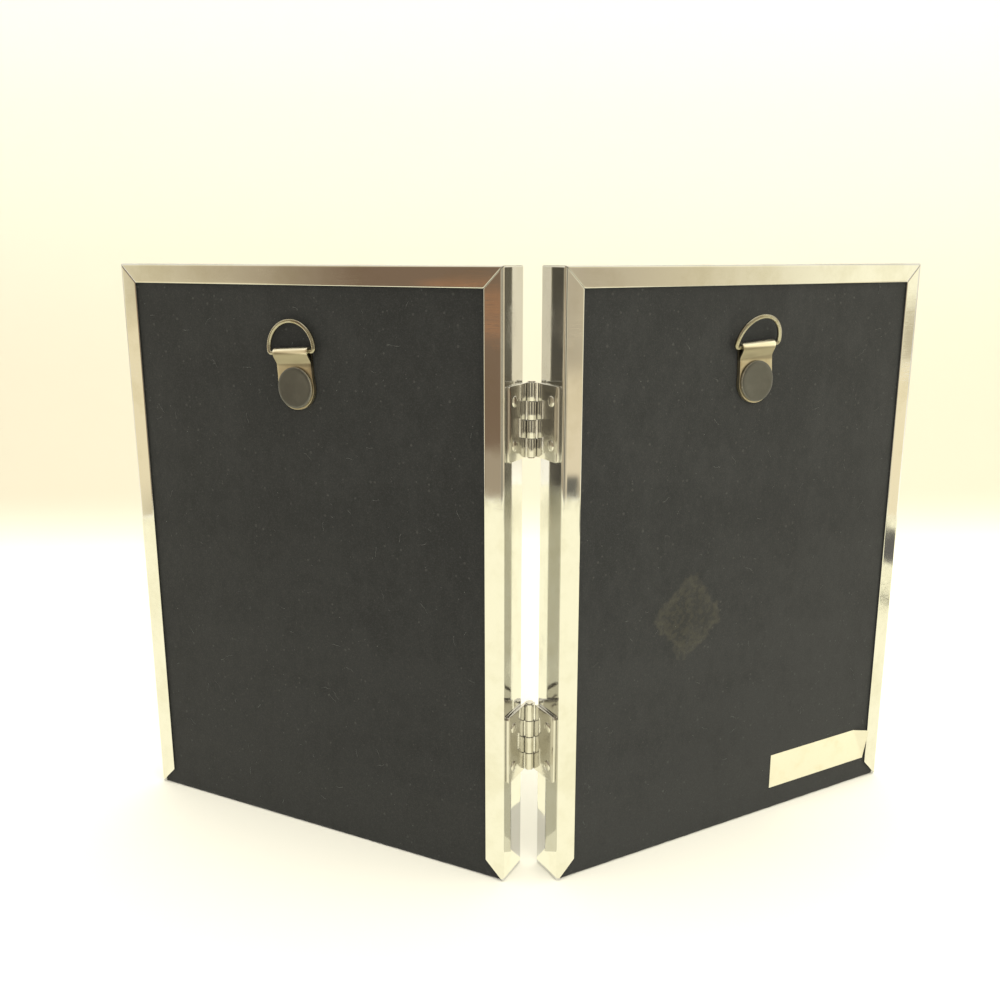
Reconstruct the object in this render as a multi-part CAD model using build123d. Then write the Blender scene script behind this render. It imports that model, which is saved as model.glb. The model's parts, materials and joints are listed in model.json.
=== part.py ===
from build123d import *
import math
import os

# Hinged double photo frame, in millimetres.
# Two slim metal frames with cloth covered backs stand open like a book on two small pin hinges.
# Each leaf is first drawn flat in its own frame: x runs from the hinge edge to the free edge,
# y from the back face to the front face, and z up from the table.
# The right leaf is that drawing turned about the hinge pins, and the left leaf mirrors it.

# Picture format and the metal channel
picture_width = 152.4
picture_height = 203.2
picture_side_clearance = 0.8
channel_wall = 0.7
back_flange = 6.8
back_bend = 1.0
front_edge = 0.35
front_inside_bend = 0.5
front_face = 7.8
lip_bend = 1.2
lip_return = 2.9
mitre_gap = 0.06
rest_gap = 0.1

# How the leaves stand
leaf_yaw = 28.0

# Layers between the back flange and the front lip
slide_clearance = 0.2
cover_thickness = 0.5
board_thickness = 2.4
board_side_clearance = 0.6
board_foot_gap = 0.3
glass_thickness = 2.0
glass_edge_break = 0.3
insert_thickness = 0.25
layer_gap = 0.05
filler_thickness = 4.5
filler_side_clearance = 2.0

# Flat keys that hold the mitred corners
key_thickness = 1.2
key_arm = 22.0
key_side_clearance = 0.55

# Pin hinges on the facing side walls
hinge_length = 24.0
hinge_inset = 48.2
hinge_seat = 0.05
plate_thickness = 1.0
plate_back_edge = 1.9
plate_corner = 1.1
knuckle_count = 4
knuckle_radius = 1.88
knuckle_gap = 0.15
knuckle_side_clearance = 0.3
pin_radius = 0.8
pin_clearance = 0.05
pin_reach = 2.4
pin_head_radius = 1.3
pin_head_height = 0.4
hinge_rivet_depth = 5.9
hinge_rivet_spacing = 13.9
hinge_rivet_radius = 0.9
hinge_rivet_head_radius = 1.8
hinge_rivet_head_height = 0.55
hinge_rivet_dome = 0.5
hinge_rivet_tail_radius = 1.25
hinge_rivet_tail_height = 0.35
rivet_clearance = 0.03

# Hanging strap, its rivet and its ring
strap_width = 14.2
strap_end_radius = 7.45
strap_thickness = 0.7
strap_standoff = 0.15
strap_layer_gap = 0.05
strap_crank = 3.9
ring_wire_radius = 0.8
ring_half_width = 9.3
ring_height = 10.4
ring_bar_clearance = 0.1
bar_above_rivet = 11.95
hanger_rivet_radius = 1.7
hanger_rivet_clearance = 0.1
hanger_rivet_tail_radius = 3.2
hanger_rivet_tail_depth = 0.5
cap_radius = 7.0
cap_height = 1.0
cap_edge = 0.45
cap_socket_depth = 0.5
cap_strap_clearance = 0.1

# Where each hanger's rivet sits, from the middle of its leaf away from the hinge edge and down from
# the top, how far the hanger leans away from the hinge edge, how far its ring has slid in the strap,
# and how far the ring has swung out from the board
left_hanger_off_middle = 0.3
left_hanger_drop = 40.7
left_hanger_lean = 3.9
left_ring_shift = 0.3
left_ring_tilt = -0.7
right_hanger_off_middle = -0.9
right_hanger_drop = 38.7
right_hanger_lean = -3.3
right_ring_shift = 0.2
right_ring_tilt = 17.4

# Paper label on the right back, stuck flat but for its upper outer corner, which is bent up
label_from_free_edge = 7.8
label_length = 50.8
label_corner_fold = 6.5
label_lift_angle = 30.0
label_height = 13.6
label_foot = 9.0
label_thickness = 0.15

# Length by which every cutting tool runs past what it cuts
overrun = 1.0

# Sizes that follow from the ones above
leaf_width = picture_width + 2 * (picture_side_clearance + channel_wall)
leaf_height = picture_height + 2 * (picture_side_clearance + channel_wall)
cover_back = channel_wall + slide_clearance
board_back = cover_back + cover_thickness
board_front = board_back + board_thickness
filler_back = board_front + slide_clearance
filler_front = filler_back + filler_thickness
insert_back = filler_front + layer_gap
insert_front = insert_back + insert_thickness
glass_back = insert_front + layer_gap
glass_front = glass_back + glass_thickness
leaf_depth = glass_front + layer_gap + lip_return
board_inset = channel_wall + board_side_clearance
pin_offset = hinge_seat + knuckle_radius
pin_depth = leaf_depth + pin_reach
plate_front = pin_depth - knuckle_radius - knuckle_side_clearance
plate_outer = hinge_seat + plate_thickness
hinge_heights = [hinge_inset, leaf_height - hinge_inset]
left_hanger_place = (leaf_width / 2 + left_hanger_off_middle, leaf_height - left_hanger_drop)
right_hanger_place = (leaf_width / 2 + right_hanger_off_middle, leaf_height - right_hanger_drop)

# The loop of the strap round the ring's bar, as heights above the cloth
loop_inner_radius = ring_wire_radius + ring_bar_clearance
loop_outer_radius = loop_inner_radius + strap_thickness
bar_above_cloth = strap_standoff + loop_outer_radius
front_layer_low = strap_standoff + strap_thickness + strap_layer_gap
front_layer_top = front_layer_low + strap_thickness
cap_low = front_layer_top + cap_strap_clearance


def leaf_point(x, y):
    """Place of a leaf's own point in the standing part, for the right leaf, before centring."""
    turn = math.radians(leaf_yaw)
    from_pin_x = x + pin_offset
    from_pin_y = y - pin_depth
    return (
        from_pin_x * math.cos(turn) - from_pin_y * math.sin(turn),
        from_pin_x * math.sin(turn) + from_pin_y * math.cos(turn),
    )


def centre_of_depth():
    """Middle of the standing part from its rearmost to its foremost bend."""
    rear = leaf_point(back_bend, back_bend)[1] - back_bend
    front = leaf_point(leaf_width - front_edge, leaf_depth - front_edge)[1] + front_edge
    return (rear + front) / 2


fold_axis_y = -centre_of_depth()


def block(x_span, y_span, z_span):
    """Box from three (low, high) spans."""
    sizes = [span[1] - span[0] for span in (x_span, y_span, z_span)]
    middle = [(span[1] + span[0]) / 2 for span in (x_span, y_span, z_span)]
    return Pos(*middle) * Box(*sizes)


def rod_along_y(x, z, y_span, radius):
    """Round rod along the depth of a leaf."""
    middle = (y_span[0] + y_span[1]) / 2
    return Pos(x, middle, z) * Rot(90, 0, 0) * Cylinder(radius, y_span[1] - y_span[0])


def rod_along_x(y, z, x_span, radius):
    """Round rod along the width of a leaf."""
    middle = (x_span[0] + x_span[1]) / 2
    return Pos(middle, y, z) * Rot(0, 90, 0) * Cylinder(radius, x_span[1] - x_span[0])


def rod_along_z(x, y, z_span, radius):
    """Round rod standing up."""
    middle = (z_span[0] + z_span[1]) / 2
    return Pos(x, y, middle) * Cylinder(radius, z_span[1] - z_span[0])


def on_right(shape):
    """Turn a leaf's piece about the hinge pins, as the right leaf stands."""
    return Pos(0, fold_axis_y, 0) * Rot(0, 0, leaf_yaw) * Pos(pin_offset, -pin_depth, 0) * shape


def on_left(shape):
    """Mirror image of the right leaf's place."""
    return mirror(on_right(shape), about=Plane.YZ)


def bend(sketch, corner, radius):
    """Round the outline's vertex nearest to a corner."""
    vertex = sketch.vertices().sort_by_distance(Vector(*corner, 0))[0]
    return fillet(vertex, radius)


# Channel rails


def channel_profile():
    """Bent sheet outline as (depth, inward), with back flange, side wall, front face and lip."""
    wall = channel_wall
    lip_end = leaf_depth - lip_return
    outline = [
        (0, back_flange),
        (0, 0),
        (leaf_depth, 0),
        (leaf_depth, front_face),
        (lip_end, front_face),
        (lip_end, front_face - wall),
        (leaf_depth - wall, front_face - wall),
        (leaf_depth - wall, wall),
        (wall, wall),
        (wall, back_flange),
    ]
    sketch = make_face(Polyline(*outline, close=True))
    sketch = bend(sketch, (0, 0), back_bend)
    sketch = bend(sketch, (wall, wall), back_bend - wall)
    return bend_front(sketch)


def bottom_profile():
    """The same sheet without its back flange, so that the back board slides out past it."""
    wall = channel_wall
    lip_end = leaf_depth - lip_return
    outline = [
        (filler_back, 0),
        (leaf_depth, 0),
        (leaf_depth, front_face),
        (lip_end, front_face),
        (lip_end, front_face - wall),
        (leaf_depth - wall, front_face - wall),
        (leaf_depth - wall, wall),
        (filler_back, wall),
    ]
    return bend_front(make_face(Polyline(*outline, close=True)))


def bend_front(sketch):
    """Crisp front edge, and the round of the lip, outside and inside."""
    wall = channel_wall
    sketch = bend(sketch, (leaf_depth, 0), front_edge)
    sketch = bend(sketch, (leaf_depth - wall, wall), front_inside_bend)
    sketch = bend(sketch, (leaf_depth, front_face), lip_bend)
    return bend(sketch, (leaf_depth - wall, front_face - wall), lip_bend - wall)


def rail(profile, length):
    """Rail along x with its outer wall on z = 0 and both ends mitred."""
    bar = extrude(Plane.YZ * profile, amount=length)
    reach = front_face + overrun
    wedge = [
        (mitre_gap - overrun, -overrun),
        (length - mitre_gap + overrun, -overrun),
        (length - mitre_gap - reach, reach),
        (mitre_gap + reach, reach),
    ]
    mitres = extrude(make_face(Plane.XZ * Polyline(*wedge, close=True)), leaf_depth + overrun, both=True)
    return bar & mitres


def hinge_rivet_places():
    """Heights of the four small rivets of one leaf."""
    half = hinge_rivet_spacing / 2
    return [height + side * half for height in hinge_heights for side in (-1, 1)]


def top_rail():
    return Pos(leaf_width, 0, leaf_height) * Rot(0, 180, 0) * rail(channel_profile(), leaf_width)


def bottom_rail():
    return rail(bottom_profile(), leaf_width)


def outer_stile():
    return Pos(leaf_width, 0, 0) * Rot(0, -90, 0) * rail(channel_profile(), leaf_height)


def hinge_stile():
    """Upright on the hinge side, drilled for the hinge rivets."""
    stile = Pos(0, 0, leaf_height) * Rot(0, 90, 0) * rail(channel_profile(), leaf_height)
    span = (-overrun, channel_wall + overrun)
    for height in hinge_rivet_places():
        stile -= rod_along_x(hinge_rivet_depth, height, span, hinge_rivet_radius + rivet_clearance)
    return stile


def corner_keys():
    """Four flat L keys in the hollow behind the front face, one in each mitred corner."""
    near = channel_wall + key_side_clearance
    far = front_face - channel_wall - key_side_clearance
    front = leaf_depth - channel_wall - rest_gap
    depth = (front - key_thickness, front)
    upright = block((near, far), depth, (near, key_arm))
    level = block((near, key_arm), depth, (near, far))
    key = upright + level
    keys = Part()
    for right in (False, True):
        for top in (False, True):
            turned = mirror(key, about=Plane.YZ) if right else key
            turned = mirror(turned, about=Plane.XY) if top else turned
            keys += Pos(leaf_width if right else 0, 0, leaf_height if top else 0) * turned
    return keys


# Glass, picture and backing


def centred_sheet(width, height, y_span):
    """Upright sheet that rests on the bottom rail, centred across the leaf."""
    side = (leaf_width - width) / 2
    foot = channel_wall + rest_gap
    return block((side, leaf_width - side), y_span, (foot, foot + height))


def glass():
    """Picture glass with its edges broken."""
    pane = centred_sheet(picture_width, picture_height, (glass_back, glass_front))
    return chamfer(pane.edges(), glass_edge_break)


def picture_insert():
    return centred_sheet(picture_width, picture_height, (insert_back, insert_front))


def filler_card():
    """Corrugated card that presses the picture forward, narrower so that it clears the rivets."""
    width = leaf_width - 2 * (channel_wall + filler_side_clearance)
    height = picture_height - filler_side_clearance
    return centred_sheet(width, height, (filler_back, filler_front))


def board_outline(y_span):
    """Sheet of the back board's outline, which reaches down almost to the table."""
    x_span = (board_inset, leaf_width - board_inset)
    return block(x_span, y_span, (board_foot_gap, leaf_height - board_inset))


def back_board(hanger_x, hanger_z):
    """Stiff board with the hanger's rivet hole and a sunk seat for the rivet's tail."""
    board = board_outline((board_back, board_front))
    hole = hanger_rivet_radius + rivet_clearance
    board -= rod_along_y(hanger_x, hanger_z, (board_back - overrun, board_front + overrun), hole)
    seat = (board_front - hanger_rivet_tail_depth, board_front + overrun)
    board -= rod_along_y(hanger_x, hanger_z, seat, hanger_rivet_tail_radius + rivet_clearance)
    return board


def velvet_cover(hanger_x, hanger_z):
    """Flocked cloth glued over the whole back of the board."""
    cover = board_outline((cover_back, board_back))
    hole = hanger_rivet_radius + rivet_clearance
    return cover - rod_along_y(hanger_x, hanger_z, (cover_back - overrun, board_back + overrun), hole)


# Hanger, drawn with the rivet on the y axis and the cloth's face on y = 0


def strap():
    """Strap folded round the ring's bar, with both layers on the rivet and a round end."""
    centre = Pos(-bar_above_cloth, bar_above_rivet)
    upper_half = Pos(-bar_above_cloth, bar_above_rivet + loop_outer_radius) * Rectangle(
        2 * loop_outer_radius, 2 * loop_outer_radius
    )
    loop = centre * Circle(loop_outer_radius) - centre * Circle(loop_inner_radius)
    loop = loop & upper_half
    end = -strap_end_radius - overrun
    back_layer = make_face(
        Polyline(
            (-strap_standoff, end),
            (-strap_standoff, bar_above_rivet),
            (-strap_standoff - strap_thickness, bar_above_rivet),
            (-strap_standoff - strap_thickness, end),
            close=True,
        )
    )
    loop_front = bar_above_cloth + loop_outer_radius
    crank_foot = bar_above_rivet - strap_crank
    front_layer = make_face(
        Polyline(
            (-loop_front, bar_above_rivet),
            (-front_layer_top, crank_foot),
            (-front_layer_top, end),
            (-front_layer_low, end),
            (-front_layer_low, crank_foot),
            (strap_thickness - loop_front, bar_above_rivet),
            close=True,
        )
    )
    section = loop + back_layer + front_layer
    band = extrude(Plane.YZ * section, amount=strap_end_radius + overrun, both=True)
    top = bar_above_rivet + loop_outer_radius + overrun
    outline = Circle(strap_end_radius) + Pos(0, top / 2) * Rectangle(strap_width, top)
    limits = extrude(Plane.XZ * outline, amount=loop_front + overrun, both=True)
    hole_span = (-front_layer_top - overrun, overrun)
    hole = rod_along_y(0, 0, hole_span, hanger_rivet_radius + hanger_rivet_clearance)
    return (band & limits) - hole


def ring(shift, tilt):
    """Ring of round wire, with a straight bar in the strap and a high bow above it."""
    corner = ring_height - ring_half_width
    bar_end = ring_half_width - corner
    bar = Line((-bar_end, 0, 0), (bar_end, 0, 0))
    right_corner = ThreePointArc(
        (bar_end, 0, 0),
        (bar_end + corner * math.sin(math.pi / 4), 0, corner - corner * math.cos(math.pi / 4)),
        (ring_half_width, 0, corner),
    )
    bow = ThreePointArc((ring_half_width, 0, corner), (0, 0, ring_height), (-ring_half_width, 0, corner))
    left_corner = ThreePointArc(
        (-ring_half_width, 0, corner),
        (-bar_end - corner * math.sin(math.pi / 4), 0, corner - corner * math.cos(math.pi / 4)),
        (-bar_end, 0, 0),
    )
    path = Wire([bar.edge(), right_corner.edge(), bow.edge(), left_corner.edge()])
    section = Plane(origin=(0, 0, 0), z_dir=(1, 0, 0)) * Circle(ring_wire_radius)
    wire = sweep(section, path=path)
    leaned = Rot(tilt, 0, 0) * wire
    return Pos(shift, -bar_above_cloth, bar_above_rivet) * leaned


def hanger_rivet():
    """Rivet from its flush tail in the board up into the cap."""
    tail_end = board_front - cover_back
    tail = rod_along_y(0, 0, (tail_end - hanger_rivet_tail_depth, tail_end), hanger_rivet_tail_radius)
    shank = rod_along_y(0, 0, (-cap_low - cap_socket_depth, tail_end), hanger_rivet_radius)
    return tail + shank


def rivet_cap():
    """Wide flat cap pressed on the rivet, with a rounded rim."""
    cap = rod_along_y(0, 0, (-cap_low - cap_height, -cap_low), cap_radius)
    rim = cap.edges().filter_by(GeomType.CIRCLE).sort_by(Axis.Y)[0]
    cap = fillet(rim, cap_edge)
    socket = (-cap_low - cap_socket_depth, -cap_low + overrun)
    return cap - rod_along_y(0, 0, socket, hanger_rivet_radius)


def at_hanger(shape, hanger_x, hanger_z, lean):
    """Put a hanger piece on its leaf, turned about the rivet."""
    return Pos(hanger_x, cover_back, hanger_z) * Rot(0, lean, 0) * shape


# Pin hinges


def hinge_plate(height, knuckles):
    """Hinge leaf on the side wall with its own knuckles, counted from the top."""
    low = height - hinge_length / 2
    x_span = (-plate_outer, -hinge_seat)
    plate = block(x_span, (plate_back_edge, plate_front), (low, low + hinge_length))
    rear_corners = plate.edges().filter_by(Axis.X).group_by(Axis.Y)[0]
    plate = fillet(rear_corners, plate_corner)
    step = hinge_length / knuckle_count
    for number in knuckles:
        top = low + hinge_length - number * step - knuckle_gap / 2
        z_span = (top - step + knuckle_gap, top)
        plate += block(x_span, (plate_front - overrun, pin_depth), z_span)
        plate += rod_along_z(-pin_offset, pin_depth, z_span, knuckle_radius)
    bore_span = (low - overrun, low + hinge_length + overrun)
    plate -= rod_along_z(-pin_offset, pin_depth, bore_span, pin_radius + pin_clearance)
    for side in (-1, 1):
        hole_height = height + side * hinge_rivet_spacing / 2
        hole_span = (-plate_outer - overrun, overrun)
        plate -= rod_along_x(hinge_rivet_depth, hole_height, hole_span, hinge_rivet_radius + rivet_clearance)
    return plate


def hinge_pin(height):
    """Pin through one hinge with a peened head at each end."""
    half = hinge_length / 2
    pin = rod_along_z(-pin_offset, pin_depth, (height - half, height + half), pin_radius)
    for side in (-1, 1):
        start = height + side * half
        inner = start - side * pin_clearance
        outer = start + side * pin_head_height
        head_low = min(start, outer)
        head_high = max(start, outer)
        neck = (min(inner, start), max(inner, start))
        pin += rod_along_z(-pin_offset, pin_depth, neck, pin_radius)
        pin += rod_along_z(-pin_offset, pin_depth, (head_low, head_high), pin_head_radius)
    return pin


def hinge_rivets():
    """Four small round rivets through the hinge plates and the side wall."""
    rivets = Part()
    for height in hinge_rivet_places():
        head_span = (-plate_outer - hinge_rivet_head_height, -plate_outer)
        head = rod_along_x(hinge_rivet_depth, height, head_span, hinge_rivet_head_radius)
        dome_edge = head.edges().filter_by(GeomType.CIRCLE).sort_by(Axis.X)[0]
        head = fillet(dome_edge, hinge_rivet_dome)
        shank_span = (-plate_outer, channel_wall)
        shank = rod_along_x(hinge_rivet_depth, height, shank_span, hinge_rivet_radius)
        tail_span = (channel_wall, channel_wall + hinge_rivet_tail_height)
        tail = rod_along_x(hinge_rivet_depth, height, tail_span, hinge_rivet_tail_radius)
        rivets += head + shank + tail
    return rivets


def label_sheet(outline):
    """Paper of a given (across, up) outline, with its glued face on y = 0."""
    return extrude(make_face(Plane.XZ * Polyline(*outline, close=True)), amount=label_thickness)


def label():
    """Paper label with one corner bent up off the cloth along a slanting crease."""
    crease_top = (label_length - label_corner_fold, label_height)
    crease_foot = (label_length, 0)
    flat = label_sheet([(0, 0), crease_foot, crease_top, (0, label_height)])
    corner = label_sheet([crease_foot, (label_length, label_height), crease_top])
    run = Vector(-label_corner_fold, 0, label_height)
    crease = Axis(Vector(label_length, 0, 0), run)
    sheet = flat + corner.rotate(crease, -label_lift_angle)
    return Pos(leaf_width - label_from_free_edge - label_length, cover_back, label_foot) * sheet


# Whole leaves


def leaf_pieces(hanger_x, hanger_z, lean, ring_shift, ring_tilt, knuckles):
    """All pieces of one leaf in its own frame, by name."""
    pieces = {
        "top_rail": top_rail(),
        "bottom_rail": bottom_rail(),
        "outer_stile": outer_stile(),
        "hinge_stile": hinge_stile(),
        "corner_keys": corner_keys(),
        "glass": glass(),
        "picture_insert": picture_insert(),
        "filler_card": filler_card(),
        "back_board": back_board(hanger_x, hanger_z),
        "velvet_cover": velvet_cover(hanger_x, hanger_z),
        "hinge_rivets": hinge_rivets(),
    }
    hanger = {
        "hanger_strap": strap(),
        "hanger_ring": ring(ring_shift, ring_tilt),
        "hanger_rivet": hanger_rivet(),
        "rivet_cap": rivet_cap(),
    }
    for name, shape in hanger.items():
        pieces[name] = at_hanger(shape, hanger_x, hanger_z, lean)
    for place, height in zip(("lower", "upper"), hinge_heights):
        pieces[place + "_hinge_plate"] = hinge_plate(height, knuckles)
    return pieces


def all_pieces():
    """Every piece of the standing part, by node name."""
    left_hanger = (*left_hanger_place, left_hanger_lean, left_ring_shift, left_ring_tilt)
    right_hanger = (*right_hanger_place, right_hanger_lean, right_ring_shift, right_ring_tilt)
    left = leaf_pieces(*left_hanger, (0, 2))
    right = leaf_pieces(*right_hanger, (1, 3))
    right["label"] = label()
    nodes = {"left_" + name: on_left(shape) for name, shape in left.items()}
    nodes.update({"right_" + name: on_right(shape) for name, shape in right.items()})
    for place, height in zip(("lower", "upper"), hinge_heights):
        nodes[place + "_hinge_pin"] = on_left(hinge_pin(height))
    return nodes


def main():
    os.makedirs("parts", exist_ok=True)
    for name, shape in all_pieces().items():
        export_step(shape, "parts/" + name + ".step")


if __name__ == "__main__":
    main()
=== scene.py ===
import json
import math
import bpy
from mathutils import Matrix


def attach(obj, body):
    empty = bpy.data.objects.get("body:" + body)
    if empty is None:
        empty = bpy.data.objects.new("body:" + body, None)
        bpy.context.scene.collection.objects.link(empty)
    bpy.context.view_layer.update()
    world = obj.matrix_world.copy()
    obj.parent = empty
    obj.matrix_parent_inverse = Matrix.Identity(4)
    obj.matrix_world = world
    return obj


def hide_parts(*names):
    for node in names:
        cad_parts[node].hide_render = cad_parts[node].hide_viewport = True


bl_info = {
    "name": "Hinged Double Photo Frame",
    "version": (1, 0, 0),
    "blender": (4, 5, 0),
    "location": "View3D > Sidebar > Photo Frame",
    "description": "Dresses the packed double photo frame with polished rails, flocked backs and hangers",
    "category": "Object",
}

import bmesh
import bpy
from bpy.props import FloatProperty, FloatVectorProperty, IntProperty, PointerProperty
from mathutils import Matrix, Vector, noise

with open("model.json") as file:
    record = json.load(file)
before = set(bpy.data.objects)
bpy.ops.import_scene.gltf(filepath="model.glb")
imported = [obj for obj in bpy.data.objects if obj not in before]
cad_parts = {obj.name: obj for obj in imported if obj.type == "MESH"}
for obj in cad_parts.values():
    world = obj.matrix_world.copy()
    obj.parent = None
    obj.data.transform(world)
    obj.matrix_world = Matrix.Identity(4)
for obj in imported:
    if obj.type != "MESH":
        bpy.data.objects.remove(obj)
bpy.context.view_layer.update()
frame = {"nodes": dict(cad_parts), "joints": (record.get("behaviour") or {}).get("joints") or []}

SIDES = ("left", "right")
FOLD_AXIS_Y = next(joint["pos_m"][1] for joint in frame["joints"] if joint["name"] == "fold")

# Sizes of one leaf in millimetres: x from the hinge edge, y from the back face, z from the table
MM = 0.001
LEAF_WIDTH = 155.4
LEAF_HEIGHT = 206.2
LEAF_DEPTH = 13.8
LEAF_YAW = math.radians(28.0)
WALL = 0.7
BACK_FLANGE = 6.8
FRONT_FACE = 7.8
LIP_END = LEAF_DEPTH - 2.9
BACK_BEND = 1.0
FRONT_EDGE = 0.35
FRONT_INSIDE_BEND = 0.5
LIP_BEND = 1.2
MITRE_GAP = 0.06
PIN_OFFSET = 1.93
PIN_DEPTH = 16.2
COVER_BACK = 0.9
COVER_THICKNESS = 0.5
FILLER_BACK = 4.0
BOARD_INSET = 1.3
BOARD_FOOT = 0.3

# Front face and lip of a rail's section: corners as (depth, inward), each with its bend
FRONT_CORNERS = (
    ((LEAF_DEPTH, 0), FRONT_EDGE),
    ((LEAF_DEPTH, FRONT_FACE), LIP_BEND),
    ((LIP_END, FRONT_FACE), 0),
    ((LIP_END, FRONT_FACE - WALL), 0),
    ((LEAF_DEPTH - WALL, FRONT_FACE - WALL), LIP_BEND - WALL),
    ((LEAF_DEPTH - WALL, WALL), FRONT_INSIDE_BEND),
)

# Hinges
HINGE_LENGTH = 24.0
HINGE_HEIGHTS = (48.2, 158.0)
PLATE_SEAT = 0.05
PLATE_THICKNESS = 1.0
PLATE_BACK = 1.9
PLATE_FRONT = 14.02
PLATE_CORNER = 1.1
KNUCKLE_RADIUS = 1.88
KNUCKLE_GAP = 0.15
KNUCKLE_CURL = math.radians(296)
KNUCKLES = {"left": (0, 2), "right": (1, 3)}
HINGE_RIVET_DEPTH = 5.9
HINGE_RIVET_SPACING = 13.9
RIVET_HEAD_RADIUS = 1.8
RIVET_HEAD_RISE = 0.55
RIVET_SHANK = 0.9

# Hangers, with the rivet on the y axis and the cloth's face on y = 0: place, lean, ring's shift and tilt
HANGER_PLACES = {"left": (78.0, 165.5, 3.9, 0.3, -0.7), "right": (76.8, 167.5, -3.3, 0.2, 17.4)}
STRAP_HALF_WIDTH = 7.1
STRAP_END_RADIUS = 7.45
STRAP_THICKNESS = 0.7
STRAP_HOLE = 1.8
BAR_ABOVE_RIVET = 11.95
BAR_ABOVE_CLOTH = 1.75
LOOP_RADIUS = 1.25
BACK_LAYER = 0.5
FRONT_LAYER = 1.25
RING_HALF_WIDTH = 9.3
RING_HEIGHT = 10.4
CAP_RADIUS = 7.0
CAP_LOW = 1.7
CAP_TOP = 2.7
CAP_SOCKET = 1.72

# Label on the right back
LABEL_START = (96.8, 9.0)
LABEL_SIZE = (50.8, 13.6)
LABEL_FOLD = 6.5
LABEL_THICKNESS = 0.15


def leaf_matrix(side):
    """Takes a leaf's own millimetres to the standing part's metres."""
    right = (
        Matrix.Translation((0, FOLD_AXIS_Y, 0))
        @ Matrix.Rotation(LEAF_YAW, 4, "Z")
        @ Matrix.Scale(MM, 4)
        @ Matrix.Translation((PIN_OFFSET, -PIN_DEPTH, 0))
    )
    return right if side == "right" else Matrix.Scale(-1, 4, (1, 0, 0)) @ right


def hanger_matrix(side):
    """Takes a hanger's own millimetres to its leaf's."""
    across, up, lean = HANGER_PLACES[side][:3]
    return Matrix.Translation((across, COVER_BACK, up)) @ Matrix.Rotation(math.radians(lean), 4, "Y")


# Meshes


def in_scene(name, data):
    """Object for a mesh or curve."""
    made = bpy.data.objects.new(name, data)
    bpy.context.scene.collection.objects.link(made)
    return made


def from_faces(name, points, faces):
    """Temporary object from points and faces."""
    mesh = bpy.data.meshes.new(name)
    mesh.from_pydata([tuple(p) for p in points], [], faces)
    mesh.update()
    return in_scene(name, mesh)


def closed_curve(name, places):
    """Temporary closed line through the given places."""
    curve = bpy.data.curves.new(name, "CURVE")
    curve.dimensions = "3D"
    line = curve.splines.new("POLY")
    line.points.add(len(places) - 1)
    for point, place in zip(line.points, places):
        point.co = (*place, 1)
    line.use_cyclic_u = True
    return in_scene(name, curve)


def plain_mesh(made, *helpers):
    """The finished mesh of a temporary object, which is removed with its helpers."""
    depsgraph = bpy.context.evaluated_depsgraph_get()
    mesh = bpy.data.meshes.new_from_object(made.evaluated_get(depsgraph))
    for old in (made, *helpers):
        bpy.data.objects.remove(old)
    return mesh


def outward(mesh):
    """Welds doubles and points the faces outwards."""
    shell = bmesh.new()
    shell.from_mesh(mesh)
    bmesh.ops.remove_doubles(shell, verts=shell.verts, dist=1e-5)
    bmesh.ops.recalc_face_normals(shell, faces=shell.faces)
    shell.to_mesh(mesh)
    shell.free()
    return mesh


def thickened(made, thickness, offset, even=False):
    """Gives a sheet its thickness."""
    wall = made.modifiers.new("thickness", "SOLIDIFY")
    wall.thickness = thickness
    wall.offset = offset
    wall.use_even_offset = even


def softened(made, width=0.16, segments=3, angle=50):
    """Rounds the edges that turn by more than an angle in degrees."""
    soften = made.modifiers.new("edges", "BEVEL")
    soften.width = width
    soften.segments = segments
    soften.limit_method = "ANGLE"
    soften.angle_limit = math.radians(angle)


def finished_piece(side, name, mesh, matrix, body, slot, node, material, sharp=35.0):
    """Puts a mesh in its place on a body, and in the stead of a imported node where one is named."""
    mesh.transform(matrix)
    if matrix.determinant() < 0:
        mesh.flip_normals()
    mesh.materials.clear()
    mesh.materials.append(material)
    mesh.shade_smooth()
    mesh.set_sharp_from_angle(angle=math.radians(sharp))
    mesh.name = side + "_" + name
    piece = in_scene(side + "_" + name, mesh)
    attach(piece, side + "_" + body)
    if node:
        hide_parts(side + "_" + node)
    return piece


def even_steps(end, count):
    """Even steps from 0 to an end, with both."""
    return [end * step / count for step in range(count + 1)]


def smooth(value):
    """Eased ramp from 0 to 1."""
    value = min(1.0, max(0.0, value))
    return value * value * (3 - 2 * value)


def rounded(corners):
    """Outline from corners, each with the radius of its bend or 0."""
    outline = []
    for index, (point, radius) in enumerate(corners):
        corner = Vector(point)
        if not radius:
            outline.append(corner)
            continue
        before = (Vector(corners[index - 1][0]) - corner).normalized()
        after = (Vector(corners[(index + 1) % len(corners)][0]) - corner).normalized()
        half = before.angle(after) / 2
        centre = corner + (before + after).normalized() * radius / math.sin(half)
        start = corner + before * radius / math.tan(half) - centre
        turn = start.angle_signed(corner + after * radius / math.tan(half) - centre)
        outline += [centre + Matrix.Rotation(-angle, 2) @ start for angle in even_steps(turn, 8)]
    return outline


def grid_faces(columns, rows):
    """Faces of a grid whose points go up one column after another."""
    starts = [column * rows + row for column in range(columns - 1) for row in range(rows - 1)]
    return [(a, a + rows, a + rows + 1, a + 1) for a in starts]


def skinned(name, rows, closed=False):
    """Temporary object with faces between rows of points, where a row of one point is a tip."""
    points, faces, low = [], [], None
    for row in rows:
        high = range(len(points), len(points) + len(row))
        points += row
        count = max(len(low), len(high)) if low else 0
        for n in range(count if closed else count - 1):
            m = (n + 1) % count
            if len(low) == 1:
                faces.append((low[0], high[m], high[n]))
            elif len(high) == 1:
                faces.append((low[n], low[m], high[0]))
            else:
                faces.append((low[n], low[m], high[m], high[n]))
        low = high
    return from_faces(name, points, faces)


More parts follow.
